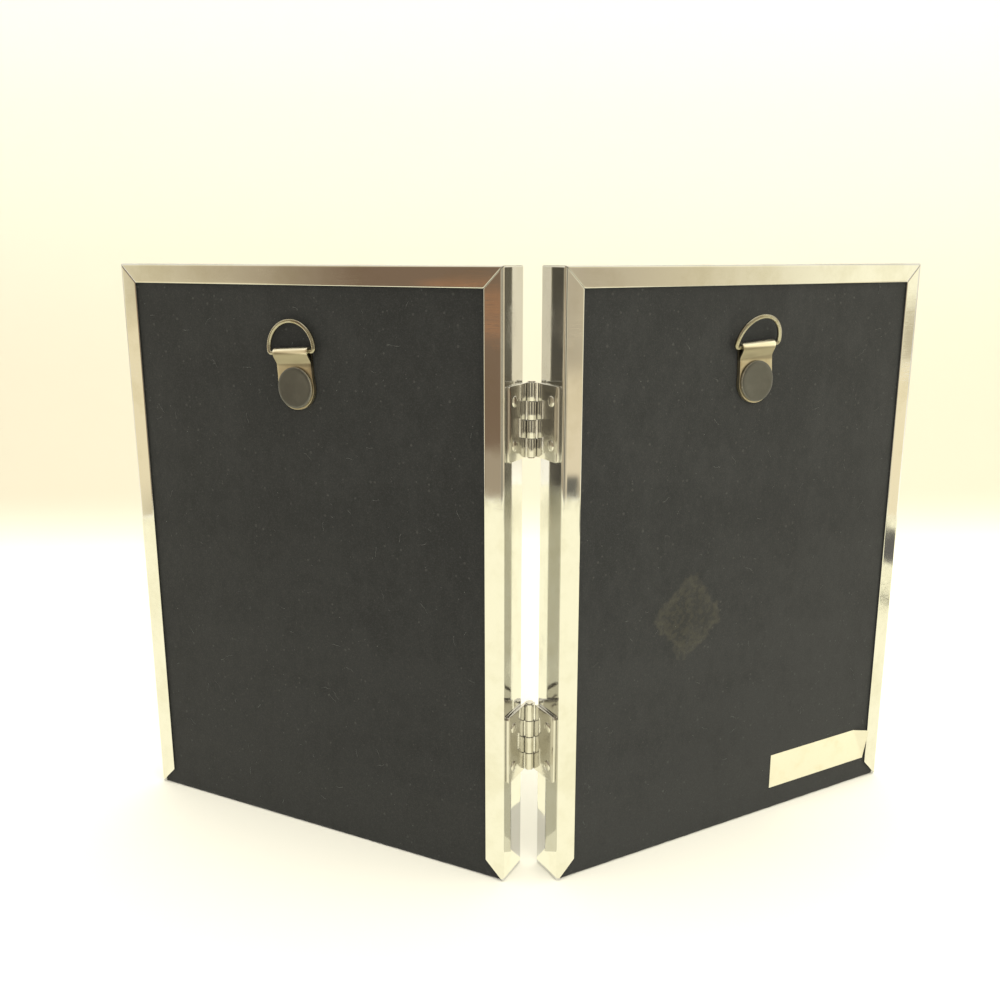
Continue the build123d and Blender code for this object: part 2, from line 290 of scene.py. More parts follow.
def lathe(name, outline, count, axis):
    """Solid of revolution about x or y, from a (radius, height) outline whose ends are on the axis."""
    rows = []
    for radius, height in outline:
        turns = even_steps(math.tau, count)[:-1] if radius else [0.0]
        row = [(radius * math.cos(turn), height, radius * math.sin(turn)) for turn in turns]
        rows.append([(y, x, z) for x, y, z in row] if axis == "X" else row)
    return skinned(name, rows, closed=True)


# Node trees


class Tree:
    """Shorthand for building a node tree."""

    def __init__(self, tree):
        self.tree = tree

    def feed(self, socket, value):
        if isinstance(value, bpy.types.NodeSocket):
            self.tree.links.new(value, socket)
        else:
            socket.default_value = value

    def add(self, kind, inputs=None, **settings):
        node = self.tree.nodes.new(kind)
        for name, value in settings.items():
            setattr(node, name, value)
        for name, value in (inputs or {}).items():
            self.feed(node.inputs[name], value)
        return node

    def out(self, kind, inputs=None, output=0, **settings):
        """One output of a new node."""
        return self.add(kind, inputs, **settings).outputs[output]

    def math(self, operation, *values, kind="ShaderNodeMath", output=0):
        node = self.add(kind, operation=operation)
        for socket, value in zip(node.inputs, values):
            self.feed(socket, value)
        return node.outputs[output]

    def product(self, first, second):
        return self.math("MULTIPLY", first, second)

    def scaled(self, value, factor, added):
        return self.math("MULTIPLY_ADD", value, factor, added)

    def size(self, value):
        return self.math("ABSOLUTE", value)

    def away(self, value, middle):
        """How far a value is from a middle."""
        return self.size(self.math("SUBTRACT", value, middle))

    def vector_math(self, operation, *values):
        output = 1 if operation == "LENGTH" else 0
        return self.math(operation, *values, kind="ShaderNodeVectorMath", output=output)

    def stretched(self, vector, factor):
        return self.out("ShaderNodeVectorMath", {"Vector": vector, "Scale": factor}, operation="SCALE")

    def axis(self, vector, name):
        return self.out("ShaderNodeSeparateXYZ", {"Vector": vector}, name)

    def xyz(self, **axes):
        return self.out("ShaderNodeCombineXYZ", axes)

    def spread(self, value, low, high, to_low=0.0, to_high=1.0):
        """Maps a value from one span to another, with its ends eased."""
        names = ("Value", "From Min", "From Max", "To Min", "To Max")
        inputs = dict(zip(names, (value, low, high, to_low, to_high)))
        return self.out("ShaderNodeMapRange", inputs, "Result", interpolation_type="SMOOTHSTEP")

    def noise(self, vector, scale, detail=2.0, roughness=0.5):
        inputs = {"Vector": vector, "Scale": scale, "Detail": detail, "Roughness": roughness}
        return self.out("ShaderNodeTexNoise", inputs)

    def swirl(self, vector, scale, detail):
        """Noise as a vector about zero."""
        inputs = {"Vector": vector, "Scale": scale, "Detail": detail}
        return self.vector_math("SUBTRACT", self.out("ShaderNodeTexNoise", inputs, 1), (0.5, 0.5, 0.5))

    def moved(self, vector, location=(0, 0, 0), rotation=(0, 0, 0), scale=(1, 1, 1)):
        inputs = {"Vector": vector, "Location": location, "Rotation": rotation, "Scale": scale}
        return self.out("ShaderNodeMapping", inputs)

    def mixed(self, share, first, second):
        """Colour between two others."""
        node = self.add("ShaderNodeMix", data_type="RGBA")
        self.feed(node.inputs[0], share)
        for number, colour in ((6, first), (7, second)):
            made = isinstance(colour, bpy.types.NodeSocket)
            self.feed(node.inputs[number], colour if made else rgba(colour))
        return node.outputs[2]


class Finish(Tree):
    """A material with its shader, and the coordinates that its patterns follow."""

    def __init__(self, name, side=None, **settings):
        self.material = bpy.data.materials.new(name)
        self.material.use_nodes = True
        super().__init__(self.material.node_tree)
        self.shader = self.tree.nodes["Principled BSDF"]
        for socket, value in settings.items():
            self.set(socket.replace("_", " "), value)
        self.place = self.out("ShaderNodeTexCoord", output="Object")
        if side:
            self.place = self.leaf_place(side)

    def leaf_place(self, side):
        """Coordinates of a leaf's own frame, in metres."""
        shift_x = -PIN_OFFSET * MM - FOLD_AXIS_Y * math.sin(LEAF_YAW)
        shift_y = PIN_DEPTH * MM - FOLD_AXIS_Y * math.cos(LEAF_YAW)
        across = 1 if side == "right" else -1
        return self.moved(self.place, (shift_x, shift_y, 0), (0, 0, -LEAF_YAW), (across, 1, 1))

    def set(self, socket, value):
        self.feed(self.shader.inputs[socket], value)

    def coloured(self, share, first, second):
        self.set("Base Color", self.mixed(share, first, second))

    def rough(self, value, factor, base):
        self.set("Roughness", self.scaled(value, factor, base))

    def bump(self, height, strength, distance):
        inputs = {"Strength": strength, "Distance": distance, "Height": height}
        self.set("Normal", self.out("ShaderNodeBump", inputs, "Normal"))

    def effect(self, tree, inputs):
        """Outputs of a shared effect."""
        return self.add("ShaderNodeGroup", {"Vector": self.place, **inputs}, node_tree=tree).outputs

    def wear(self, scratch_scale=60.0, smudge_scale=45.0):
        return self.effect(handling_wear(), {"Scratch Scale": scratch_scale, "Smudge Scale": smudge_scale})

    def fibres(self, scale, stretch):
        return self.effect(loose_fibres(), {"Scale": scale, "Stretch": stretch})


def built_once(name):
    """Marks the function that builds a node tree, which is found by its name after its first use."""

    def marked(build):
        return lambda: bpy.data.node_groups.get(name) or build(name)

    return marked


def new_input(tree, label, value):
    """Named input of a tree, which takes an object where it has no number."""
    kind = {int: "Int", float: "Float"}.get(type(value), "Object")
    socket = tree.interface.new_socket(label, in_out="INPUT", socket_type="NodeSocket" + kind)
    if value is not None:
        socket.default_value = value


def effect_group(name, sizes, outputs):
    """Empty shader group with coordinates, sizes and outputs, all named."""
    tree = bpy.data.node_groups.new(name, "ShaderNodeTree")
    tree.interface.new_socket("Vector", in_out="INPUT", socket_type="NodeSocketVector")
    for label, value in sizes.items():
        new_input(tree, label, value)
    for label in outputs:
        tree.interface.new_socket(label, in_out="OUTPUT", socket_type="NodeSocketFloat")
    parts = Tree(tree)
    return parts, parts.add("NodeGroupInput").outputs, parts.add("NodeGroupOutput").inputs


@built_once("Handling Wear")
def handling_wear(name):
    """Fine crossing scratches and finger smudges on a polished surface."""
    sizes = {"Scratch Scale": 60.0, "Smudge Scale": 45.0}
    parts, given, made = effect_group(name, sizes, ("Scratches", "Smudges"))
    lines = 0.0
    for tilt, stretch in ((0.35, 22.0), (-0.6, 30.0), (1.35, 18.0)):
        turned = parts.moved(given["Vector"], (tilt, 0, 0), (tilt, tilt * 2, tilt * 3), (1, stretch, stretch))
        ridge = parts.away(parts.noise(turned, given["Scratch Scale"], 1.0), 0.5)
        lines = parts.math("ADD", parts.spread(ridge, 0.0, 0.012, 1.0, 0.0), lines)
    sparse = parts.spread(parts.noise(given["Vector"], given["Smudge Scale"], 3.0), 0.45, 0.7)
    parts.feed(made["Scratches"], parts.product(parts.math("MINIMUM", lines, 1.0), sparse))
    smears = parts.noise(parts.moved(given["Vector"], (3, 5, 7)), given["Smudge Scale"], 4.0, 0.65)
    parts.feed(made["Smudges"], parts.spread(smears, 0.42, 0.68))
    return parts.tree


@built_once("Loose Fibres")
def loose_fibres(name):
    """Short tangled fibres, as in paper, card and flock."""
    parts, given, made = effect_group(name, {"Scale": 900.0, "Stretch": 5.0}, ("Fibres", "Height"))
    total = 0.0
    stretch = parts.xyz(X=1.0, Y=given["Stretch"], Z=given["Stretch"])
    for turn in (0.3, 1.4, 2.5):
        turned = parts.moved(given["Vector"], (turn, turn, 0), (0, turn, 0))
        grain = parts.noise(parts.vector_math("MULTIPLY", turned, stretch), given["Scale"], 2.0)
        total = parts.math("ADD", grain, total)
    level = parts.product(total, 1 / 3)
    parts.feed(made["Height"], level)
    parts.feed(made["Fibres"], parts.spread(level, 0.47, 0.62))
    return parts.tree


@built_once("Dust Specks")
def dust_specks(name):
    """Scattered fine specks of different sizes."""
    parts, given, made = effect_group(name, {"Scale": 400.0, "Size": 0.18}, ("Specks",))
    cells = parts.add("ShaderNodeTexVoronoi", {"Vector": given["Vector"], "Scale": given["Scale"]})
    random_tone = parts.add("ShaderNodeSeparateColor", {"Color": cells.outputs["Color"]}).outputs
    reach = parts.product(parts.math("POWER", random_tone[0], 6.0), given["Size"])
    spot = parts.spread(parts.math("SUBTRACT", reach, cells.outputs["Distance"]), 0.0, 0.06)
    parts.feed(made["Specks"], parts.product(spot, random_tone[1]))
    return parts.tree


# Materials


def rgba(colour):
    return (*colour, 1.0)


def toned(tint, *factors):
    """Colour with its parts multiplied, each by its own factor or all by one."""
    return tuple(part * factor for part, factor in zip(tint, factors * 3))


def bright_plate(name, side, tint, roughness=0.045):
    """Polished plated sheet, with hairline scratches, smudges and faint rolling waves."""
    finish = Finish(name, side, Metallic=1.0)
    wear = finish.wear()
    finish.coloured(wear["Smudges"], tint, toned(tint, 0.93, 0.92, 0.88))
    finish.rough(wear["Scratches"], 0.12, finish.scaled(wear["Smudges"], 0.06, roughness))
    waves = finish.noise(finish.moved(finish.place, scale=(1, 1, 0.35)), 70.0, 1.0)
    height = finish.scaled(wear["Scratches"], -0.004, finish.product(waves, 0.018))
    finish.bump(height, 1.0, 0.0006)
    return finish.material


def flocked_cloth(name, side, settings):
    """Near black flock with a brushed nap, lint dust, painted light that lightens it towards the foot, a
    painted shade on the left leaf and, on the right, old label glue.
    """
    finish = Finish(name, side, Sheen_Weight=0.12, Sheen_Roughness=0.45, Specular_IOR_Level=0.25)
    fibres = finish.fibres(1500.0, 4.0)
    specks = finish.effect(dust_specks(), {"Scale": 620.0, "Size": 0.34})["Specks"]
    mottle = finish.noise(finish.place, 38.0, 4.0, 0.62)
    streaks = finish.noise(finish.moved(finish.place, scale=(1, 1, 0.5)), 300.0, 3.0, 0.6)
    tone = finish.scaled(streaks, 0.35, finish.product(mottle, 0.65))
    # Painted light: the cloth is painted lighter towards the foot, for the light bouncing up from the floor;
    # it is added to the nap's tone in brushed.
    painted_foot_light = finish.spread(finish.axis(finish.place, "Z"), 0.02, 0.13, 0.16, 0.0)
    brushed = finish.spread(finish.math("ADD", tone, painted_foot_light), 0.36, 0.72)
    # Painted shade: the left cloth's tones are scaled darker than the right's, as the left leaf gets less
    # light.
    shade = settings.left_shade if side == "left" else 1.0
    cloth = finish.mixed(brushed, toned(settings.cloth_dark, shade), toned(settings.cloth_light, shade))
    pile = finish.mixed(finish.product(fibres["Fibres"], 0.12), cloth, settings.dust)
    colour, rough = finish.mixed(finish.product(specks, 0.35), pile, settings.dust), 0.95
    if side == "right":
        colour, rough = glue_patch(finish, colour)
    finish.set("Base Color", colour)
    finish.set("Roughness", rough)
    nap = finish.noise(finish.place, 2600.0, 2.0)
    finish.bump(finish.scaled(fibres["Height"], 0.7, finish.product(nap, 0.5)), 0.5, 0.00015)
    return finish.material


def glue_patch(finish, cloth):
    """Colour and roughness of the cloth with a faint ragged patch of glue from an old label."""
    centre = (0.0533, 0, 0.0862)
    torn = finish.stretched(finish.swirl(finish.place, 300.0, 6.0), 0.0085)
    shifted = finish.vector_math("ADD", finish.vector_math("SUBTRACT", finish.place, centre), torn)
    turned = finish.moved(shifted, rotation=(0, math.radians(41), 0))
    across, upward = (
        finish.math("DIVIDE", finish.size(finish.axis(turned, axis)), half)
        for axis, half in (("X", 0.0112), ("Z", 0.0118))
    )
    corner = finish.product(finish.math("ADD", across, upward), 0.58)
    reach = finish.math("MAXIMUM", finish.math("MAXIMUM", across, upward), corner)
    inside = finish.spread(reach, 0.86, 1.08, 1.0, 0.0)
    patchy = finish.spread(finish.noise(finish.place, 620.0, 5.0), 0.4, 0.62, 0.25, 1.0)
    glue = finish.product(inside, finish.product(patchy, 0.2))
    coated = finish.mixed(glue, cloth, (0.085, 0.078, 0.046))
    rim = finish.product(finish.spread(reach, 0.72, 0.95), inside)
    edged = finish.mixed(finish.product(rim, 0.07), coated, (0.17, 0.16, 0.12))
    return edged, finish.scaled(glue, -0.35, 0.95)


def strap_metal(name, side, tint):
    """Rolled strip of dulled nickelled brass, darker from just below the crank up, with a painted highlight
    on the loop that is folded round the ring.
    """
    finish = Finish(name, side, Metallic=1.0)
    wear = finish.wear(120.0, 180.0)
    mottle = finish.spread(finish.noise(finish.place, 240.0, 4.0, 0.6), 0.5, 0.75)
    dull = finish.mixed(mottle, tint, toned(tint, 0.86, 0.82, 0.74))
    height = finish.axis(finish.place, "Z")
    fold = (HANGER_PLACES[side][1] + BAR_ABOVE_RIVET) * MM
    # Darker from just below the crank upwards.
    darker_upper_strap = finish.spread(height, fold - 0.0052, fold - 0.0042)
    dull = finish.mixed(darker_upper_strap, dull, toned(tint, 0.58))
    # Painted highlight: the loop, from just below the fold up, is painted near white for the bright line that
    # light from above makes along its top.
    finish.coloured(finish.spread(height, fold - 0.0006, fold + 0.0002), dull, (0.98, 0.94, 0.8))
    grain = finish.noise(finish.moved(finish.place, scale=(1, 1, 0.06)), 2600.0, 2.0)
    finish.rough(wear["Smudges"], 0.08, finish.scaled(grain, 0.06, 0.28))
    relief = finish.scaled(wear["Scratches"], -0.3, finish.product(grain, 0.12))
    finish.bump(relief, 0.08, 0.00006)
    return finish.material


def ring_wire(name, tint):
    """Drawn wire with bright plating that has dulled in patches."""
    finish = Finish(name, Metallic=1.0)
    wear = finish.wear(160.0, 260.0)
    finish.coloured(wear["Smudges"], tint, toned(tint, 0.85, 0.83, 0.72))
    finish.rough(wear["Smudges"], 0.05, 0.18)
    finish.bump(wear["Scratches"], 0.25, 0.00006)
    return finish.material


def lacquered_cap(name, tint, centre):
    """Dark satin lacquer, rubbed bright on the rim."""
    finish = Finish(name, Coat_Weight=0.7, Coat_Roughness=0.12)
    wear = finish.wear(140.0, 220.0)
    radius = finish.vector_math("LENGTH", finish.vector_math("SUBTRACT", finish.place, centre))
    rim = finish.spread(radius, (CAP_RADIUS - 0.25) * MM, (CAP_RADIUS + 0.1) * MM)
    rubbed = finish.product(rim, finish.spread(wear["Smudges"], 0.0, 0.8, 0.35, 1.0))
    cloudy = finish.mixed(wear["Smudges"], tint, toned(tint, 1.35))
    finish.coloured(rubbed, cloudy, (0.5, 0.46, 0.38))
    finish.set("Metallic", finish.product(rubbed, 0.9))
    finish.rough(wear["Scratches"], 0.15, 0.35)
    finish.bump(finish.noise(finish.place, 1800.0, 2.0), 0.12, 0.0001)
    return finish.material


def paper(name, tint, side=None, scale=1300.0):
    """Uncoated paper with visible fibres and a little soiling."""
    finish = Finish(name, side, Specular_IOR_Level=0.3)
    fibres = finish.fibres(scale, 6.0)
    soiled = toned(tint, 0.93, 0.9, 0.82)
    patches = finish.spread(finish.noise(finish.place, 110.0, 4.0, 0.6), 0.48, 0.8)
    sheet = finish.mixed(patches, tint, soiled)
    finish.coloured(finish.product(fibres["Fibres"], 0.25), sheet, soiled)
    finish.rough(fibres["Fibres"], 0.1, 0.8)
    finish.bump(fibres["Height"], 0.35, 0.0001)
    return finish.material


def fluted_card(name, side):
    """Brown corrugated card, whose flutes show through its liner."""
    finish = Finish(name, side)
    fibres = finish.fibres(900.0, 7.0)
    flute_pitch = 0.0042
    flutes = finish.math("SINE", finish.product(finish.axis(finish.place, "Z"), math.tau / flute_pitch))
    shade = finish.spread(flutes, -1.0, 1.0)
    liner = finish.mixed(finish.product(shade, 0.35), (0.42, 0.28, 0.16), (0.5, 0.35, 0.2))
    finish.coloured(finish.product(fibres["Fibres"], 0.4), liner, (0.3, 0.19, 0.1))
    finish.rough(fibres["Fibres"], 0.08, 0.82)
    finish.bump(finish.scaled(fibres["Height"], 0.4, finish.product(shade, 0.5)), 0.5, 0.0002)
    return finish.material


def black_card(name):
    """Dense black backing card with a felted surface."""
    finish = Finish(name, Specular_IOR_Level=0.3)
    fibres = finish.fibres(1100.0, 5.0)
    finish.coloured(finish.product(fibres["Fibres"], 0.5), (0.035, 0.03, 0.027), (0.09, 0.075, 0.06))
    finish.rough(fibres["Fibres"], 0.08, 0.85)
    finish.bump(fibres["Height"], 0.4, 0.00015)
    return finish.material


def spangled_steel(name):
    """Galvanised steel with faint crystals."""
    finish = Finish(name, Metallic=1.0)
    wear = finish.wear()
    crystals = finish.out("ShaderNodeTexVoronoi", {"Vector": finish.place, "Scale": 260.0}, "Color")
    tone = finish.out("ShaderNodeSeparateColor", {"Color": crystals})
    finish.coloured(tone, (0.5, 0.51, 0.52), (0.66, 0.67, 0.68))
    finish.rough(wear["Smudges"], 0.15, 0.32)
    finish.bump(wear["Scratches"], 0.2, 0.0001)
    return finish.material


def clear_pane(name):
    """Float glass with a few finger smears."""
    finish = Finish(name, Transmission_Weight=1.0, IOR=1.5)
    smears = finish.wear(smudge_scale=30.0)["Smudges"]
    finish.coloured(smears, (0.97, 1.0, 0.985), (0.94, 0.98, 0.96))
    finish.set("Roughness", finish.product(smears, 0.03))
    return finish.material


def lint_fluff(name, tint):
    """Pale household lint."""
    finish = Finish(name, Specular_IOR_Level=0.2)
    tone = finish.spread(finish.noise(finish.place, 900.0, 1.0), 0.35, 0.65)
    finish.coloured(tone, tint, toned(tint, 0.45))
    finish.rough(tone, 0.1, 0.85)
    return finish.material


def give(node, material):
    """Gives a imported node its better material."""
    for slot in frame["nodes"][node].material_slots:
        slot.material = material


# Geometry Nodes


def shape_tree(name, inputs):
    """Empty geometry tree with named inputs, and its group nodes."""
    tree = bpy.data.node_groups.new(name, "GeometryNodeTree")
    tree.interface.new_socket("Geometry", in_out="INPUT", socket_type="NodeSocketGeometry")
    for label, value in inputs.items():
        new_input(tree, label, value)
    tree.interface.new_socket("Material", in_out="INPUT", socket_type="NodeSocketMaterial")
    tree.interface.new_socket("Geometry", in_out="OUTPUT", socket_type="NodeSocketGeometry")
    parts = Tree(tree)
    return parts, parts.add("NodeGroupInput").outputs


def end_tree(parts, given, geometry):
    """Ends a geometry tree in Realize Instances and Set Material."""
    real = parts.out("GeometryNodeRealizeInstances", {"Geometry": geometry})
    painted = parts.out("GeometryNodeSetMaterial", {"Geometry": real, "Material": given["Material"]})
    parts.add("NodeGroupOutput", {"Geometry": painted})
    return parts.tree


def grown(made, tree, **inputs):
    """Adds a geometry tree to a temporary object, with its inputs set."""
    modifier = made.modifiers.new(tree.name, "NODES")
    modifier.node_group = tree
    for item in tree.interface.items_tree:
        key = item.name.replace(" ", "_")
        if item.in_out == "INPUT" and key in inputs:
            modifier[item.identifier] = inputs[key]
    return made


def object_shape(parts, source):
    return parts.out("GeometryNodeObjectInfo", {"Object": source}, "Geometry")


def swept(parts, curve, section, caps=True):
    """Mesh of a section drawn along a curve."""
    inputs = {"Curve": curve, "Profile Curve": section, "Fill Caps": caps}
    return parts.out("GeometryNodeCurveToMesh", inputs)


def round_section(parts, sides, radius):
    return parts.out("GeometryNodeCurvePrimitiveCircle", {"Resolution": sides, "Radius": radius})


def pair_of_points(parts, start, offset):
    return parts.out("GeometryNodeMeshLine", {"Count": 2, "Start Location": start, "Offset": offset})


def set_on(parts, points, shape, **turned):
    """Copies of a shape on points."""
    inputs = {"Points": points, "Instance": shape, **turned}
    return parts.out("GeometryNodeInstanceOnPoints", inputs)


def strewn_over(parts, given, density, seed):
    """Points scattered over the given faces."""
    inputs = {"Mesh": given["Geometry"], "Density": given[density], "Seed": seed}
    return parts.out("GeometryNodeDistributePointsOnFaces", inputs, "Points")


def random_between(parts, low, high, seed):
    """Random number or vector for each point."""
    vector = isinstance(low, tuple)
    node = parts.add("FunctionNodeRandomValue", data_type="FLOAT_VECTOR" if vector else "FLOAT")
    first = 0 if vector else 2
    node.inputs[first].default_value = low
    node.inputs[first + 1].default_value = high
    node.inputs["Seed"].default_value = seed
    return node.outputs[0 if vector else 1]


@built_once("Mitred Rail")
def mitred_rail_tree(name):
    """A sheet profile drawn along z, with both ends cut back at 45 degrees by its y."""
    sizes = {"Length": LEAF_HEIGHT, "Mitre Gap": MITRE_GAP, "End Strip": 0.6}
    parts, given = shape_tree(name, {"Profile": None, **sizes})
    line = parts.out("GeometryNodeCurvePrimitiveLine", {"End": parts.xyz(Z=given["Length"])})
    thirds = parts.out("GeometryNodeSubdivideCurve", {"Curve": line, "Cuts": 2})
    bar = swept(parts, thirds, object_shape(parts, given["Profile"]))
    place = parts.out("GeometryNodeInputPosition")
    cut = parts.math("ADD", parts.axis(place, "Y"), given["Mitre Gap"])
    middle = parts.product(given["Length"], 0.5)
    from_middle = parts.math("SUBTRACT", middle, parts.axis(place, "Z"))
    inner = parts.math("LESS_THAN", parts.size(from_middle), parts.product(middle, 0.5))
    cut = parts.scaled(inner, parts.scaled(given["Length"], -1 / 3, given["End Strip"]), cut)
    shift = parts.xyz(Z=parts.product(cut, parts.math("SIGN", from_middle)))
    mitred = parts.out("GeometryNodeSetPosition", {"Geometry": bar, "Offset": shift})
    return end_tree(parts, given, mitred)


@built_once("Bent Wire")
def bent_wire_tree(name):
    """Round wire along a closed path."""
    parts, given = shape_tree(name, {"Path": None, "Wire Radius": 0.8, "Sides": 28})
    section = round_section(parts, given["Sides"], given["Wire Radius"])
    return end_tree(parts, given, swept(parts, object_shape(parts, given["Path"]), section, False))


@built_once("Rivet Row")
def rivet_row_tree(name):
    """Two rivets on each of two hinge plates."""
    sizes = {"Depth": HINGE_RIVET_DEPTH, "Lower Hinge": HINGE_HEIGHTS[0], "Upper Hinge": HINGE_HEIGHTS[1]}
    parts, given = shape_tree(name, {"Rivet": None, **sizes, "Spacing": HINGE_RIVET_SPACING})
    low, high, spacing = (given[label] for label in ("Lower Hinge", "Upper Hinge", "Spacing"))
    rise = parts.xyz(Z=parts.math("SUBTRACT", high, low))
    hinges = pair_of_points(parts, parts.xyz(Y=given["Depth"], Z=low), rise)
    pair = pair_of_points(parts, parts.xyz(Z=parts.product(spacing, -0.5)), parts.xyz(Z=spacing))
    points = parts.out("GeometryNodeRealizeInstances", {"Geometry": set_on(parts, hinges, pair)})
    return end_tree(parts, given, set_on(parts, points, object_shape(parts, given["Rivet"])))


@built_once("Lint")
def lint_tree(name):
    """Curled fibres and specks scattered over the cloth, all lying along y = 0."""
    sizes = {"Fibres": 0.004, "Specks": 0.006, "Fibre Radius": 0.035, "Curl": 1.6, "Seed": 1}
    parts, given = shape_tree(name, sizes)
    any_way = ((0, 0, 0), (0, math.tau, 0))
    spots = strewn_over(parts, given, "Fibres", given["Seed"])
    strand = parts.out("GeometryNodeCurvePrimitiveLine", {"Start": (-0.5, 0, 0), "End": (0.5, 0, 0)})
    fine = parts.out("GeometryNodeResampleCurve", {"Curve": strand, "Count": 10})
    way, length = random_between(parts, *any_way, 3), random_between(parts, 0.5, 4.2, 4)
    strands = set_on(parts, spots, fine, Rotation=way, Scale=length)
    real = parts.out("GeometryNodeRealizeInstances", {"Geometry": strands})
    swirl = parts.swirl(parts.out("GeometryNodeInputPosition"), 0.55, 2.0)
    curl = parts.stretched(parts.vector_math("MULTIPLY", swirl, (1.0, 0.05, 1.0)), given["Curl"])
    curled = parts.out("GeometryNodeSetPosition", {"Geometry": real, "Offset": curl})
    fibres = swept(parts, curled, round_section(parts, 4, given["Fibre Radius"]))
    dots = strewn_over(parts, given, "Specks", parts.math("ADD", given["Seed"], 7.0))
    grain = parts.out("GeometryNodeMeshIcoSphere", {"Radius": 1.0, "Subdivisions": 1})
    way = random_between(parts, *any_way, 5)
    girth = random_between(parts, (0.05, 0.03, 0.05), (0.2, 0.06, 0.12), 6)
    specks = set_on(parts, dots, grain, Rotation=way, Scale=girth)
    both = parts.add("GeometryNodeJoinGeometry")
    for scattered in (fibres, specks):
        parts.feed(both.inputs[0], scattered)
    return end_tree(parts, given, both.outputs[0])


# Settings


def number_setting(name, description, default, low, high, **kind):
    return FloatProperty(name=name, description=description, default=default, min=low, max=high, **kind)


def length_setting(name, description, default, low, high):
    return number_setting(name, description, default, low, high, precision=5, unit="LENGTH")


def colour_setting(name, description, default):
    settings = {"name": name, "description": description, "default": default}
    return FloatVectorProperty(**settings, size=3, min=0.0, max=1.0, subtype="COLOR")


class RailSettings(bpy.types.PropertyGroup):
    """Polished rails and hinges."""

    plate_tint: colour_setting("Plate tint", "Colour of the polished plating", (0.67, 0.67, 0.66))
    hinge_tint: colour_setting("Hinge tint", "Colour of the hinge plating", (0.63, 0.62, 0.6))
    flange_crown: length_setting(
        "Flange crown",
        "How far the back flange dips towards the cloth at its free edge",
        0.00004,
        0.0,
        0.00015,
    )
    edge_round: length_setting("Edge rounding", "Rounding of the sheet's cut edges", 0.0002, 0.00002, 0.0003)


class CoverSettings(bpy.types.PropertyGroup):
    """Flocked cloth on the back boards."""

    cloth_dark: colour_setting("Cloth shade", "Darker tone of the flocked cloth", (0.0165, 0.018, 0.0205))
    cloth_light: colour_setting("Cloth light", "Lighter tone of the brushed nap", (0.0245, 0.0262, 0.029))
    # Painted shade of the left cloth, scaled from the right's tones because the left leaf gets less light.
    left_shade: number_setting(
        "Left shade", "Tone of the left cloth, as a share of the right", 0.78, 0.0, 1.0
    )
    dust: colour_setting("Dust", "Colour of dust and loose fibres in the nap", (0.1, 0.102, 0.1))
    lint: colour_setting("Lint", "Colour of the lint that lies on the cloth", (0.15, 0.155, 0.155))
    relief: length_setting("Relief", "Height of the cloth's unevenness", 0.00003, 0.0, 0.00006)
    fibre_share: number_setting("Fibres", "Lint fibres on each square millimetre", 0.003, 0.0, 0.1)
    speck_share: number_setting("Specks", "Lint specks on each square millimetre", 0.007, 0.0, 0.1)
    seed: IntProperty(name="Seed", description="Seed of the scattered lint", default=11, min=0)


class HangerSettings(bpy.types.PropertyGroup):
    """Strap, ring and cap of each hanger."""

    strap_tint: colour_setting("Strap tint", "Colour of the strap", (0.5, 0.45, 0.34))
    ring_tint: colour_setting("Ring tint", "Colour of the ring", (0.39, 0.37, 0.31))
    cap_tint: colour_setting("Cap tint", "Colour of the rivet cap's lacquer", (0.027, 0.027, 0.023))
    wire_radius: length_setting("Wire radius", "Radius of the ring's wire", 0.0008, 0.0004, 0.0009)


class LabelSettings(bpy.types.PropertyGroup):
    """Paper label on the right back."""

    label_tint: colour_setting("Paper tint", "Colour of the label's paper", (0.66, 0.64, 0.51))
    lift: number_setting(
        "Corner lift",
        "Angle by which the label's upper outer corner is bent up",
        math.radians(30),
        0.0,
        math.radians(40),
        subtype="ANGLE",
    )


class StudioSettings(bpy.types.PropertyGroup):
    """Floor, lights and camera."""

    floor_tint: colour_setting("Floor tint", "Colour of the pale floor", (0.88, 0.88, 0.88))
    # Painted shade at the foot of the backdrop, which gets less light than the floor.
    backdrop_shade_tint: colour_setting("Backdrop tint", "Colour of the foot of the backdrop", (0.6, 0.57, 0.5))
    light: number_setting("Light", "Strength of the soft light all round", 1.0, 0.0, 10.0)
    lens: number_setting("Lens", "Focal length for a 36 mm wide sensor", 37.19, 10.0, 200.0)


# Studio, in metres

CAMERA_PLACE = (-0.017, -0.3563, 0.2098)
CAMERA_TURN = (math.radians(90 - 13.45), 0, math.radians(-1.215))
LAMPS = (
    ("soft_top", (0.1, 0.1, 1.3), 1.4, 12.0, (1.0, 0.95, 0.75)),
    ("soft_front", (0.8, -1.0, 0.9), 0.9, 8.0, (1.0, 0.94, 0.7)),
)
SKY = (1.2, 1.15, 0.98)
ROOM_RADIUS = 0.6
ROOM_TOP = 1.2
ROOM_ENDS = (math.radians(184), math.radians(356))
# Half the glow of the walls round the table, by share of a full turn from -x by way of -y
BRIGHT = (0.74, 0.7, 0.5)
BEIGE = (0.46, 0.4, 0.26)
DULL_BEIGE = (0.34, 0.29, 0.2)
BROWN = (0.14, 0.095, 0.06)
SHADE = (0.2, 0.18, 0.13)
ROOM_WALLS = (
    (0.0, BRIGHT),
    (0.028, BEIGE),
    (0.073, BROWN),
    (0.115, BROWN),
    (0.15, DULL_BEIGE),
    (0.2, SHADE),
    (0.29, SHADE),
    (0.34, DULL_BEIGE),
    (0.415, DULL_BEIGE),
    (0.44, BEIGE),
    (0.474, BRIGHT),
)
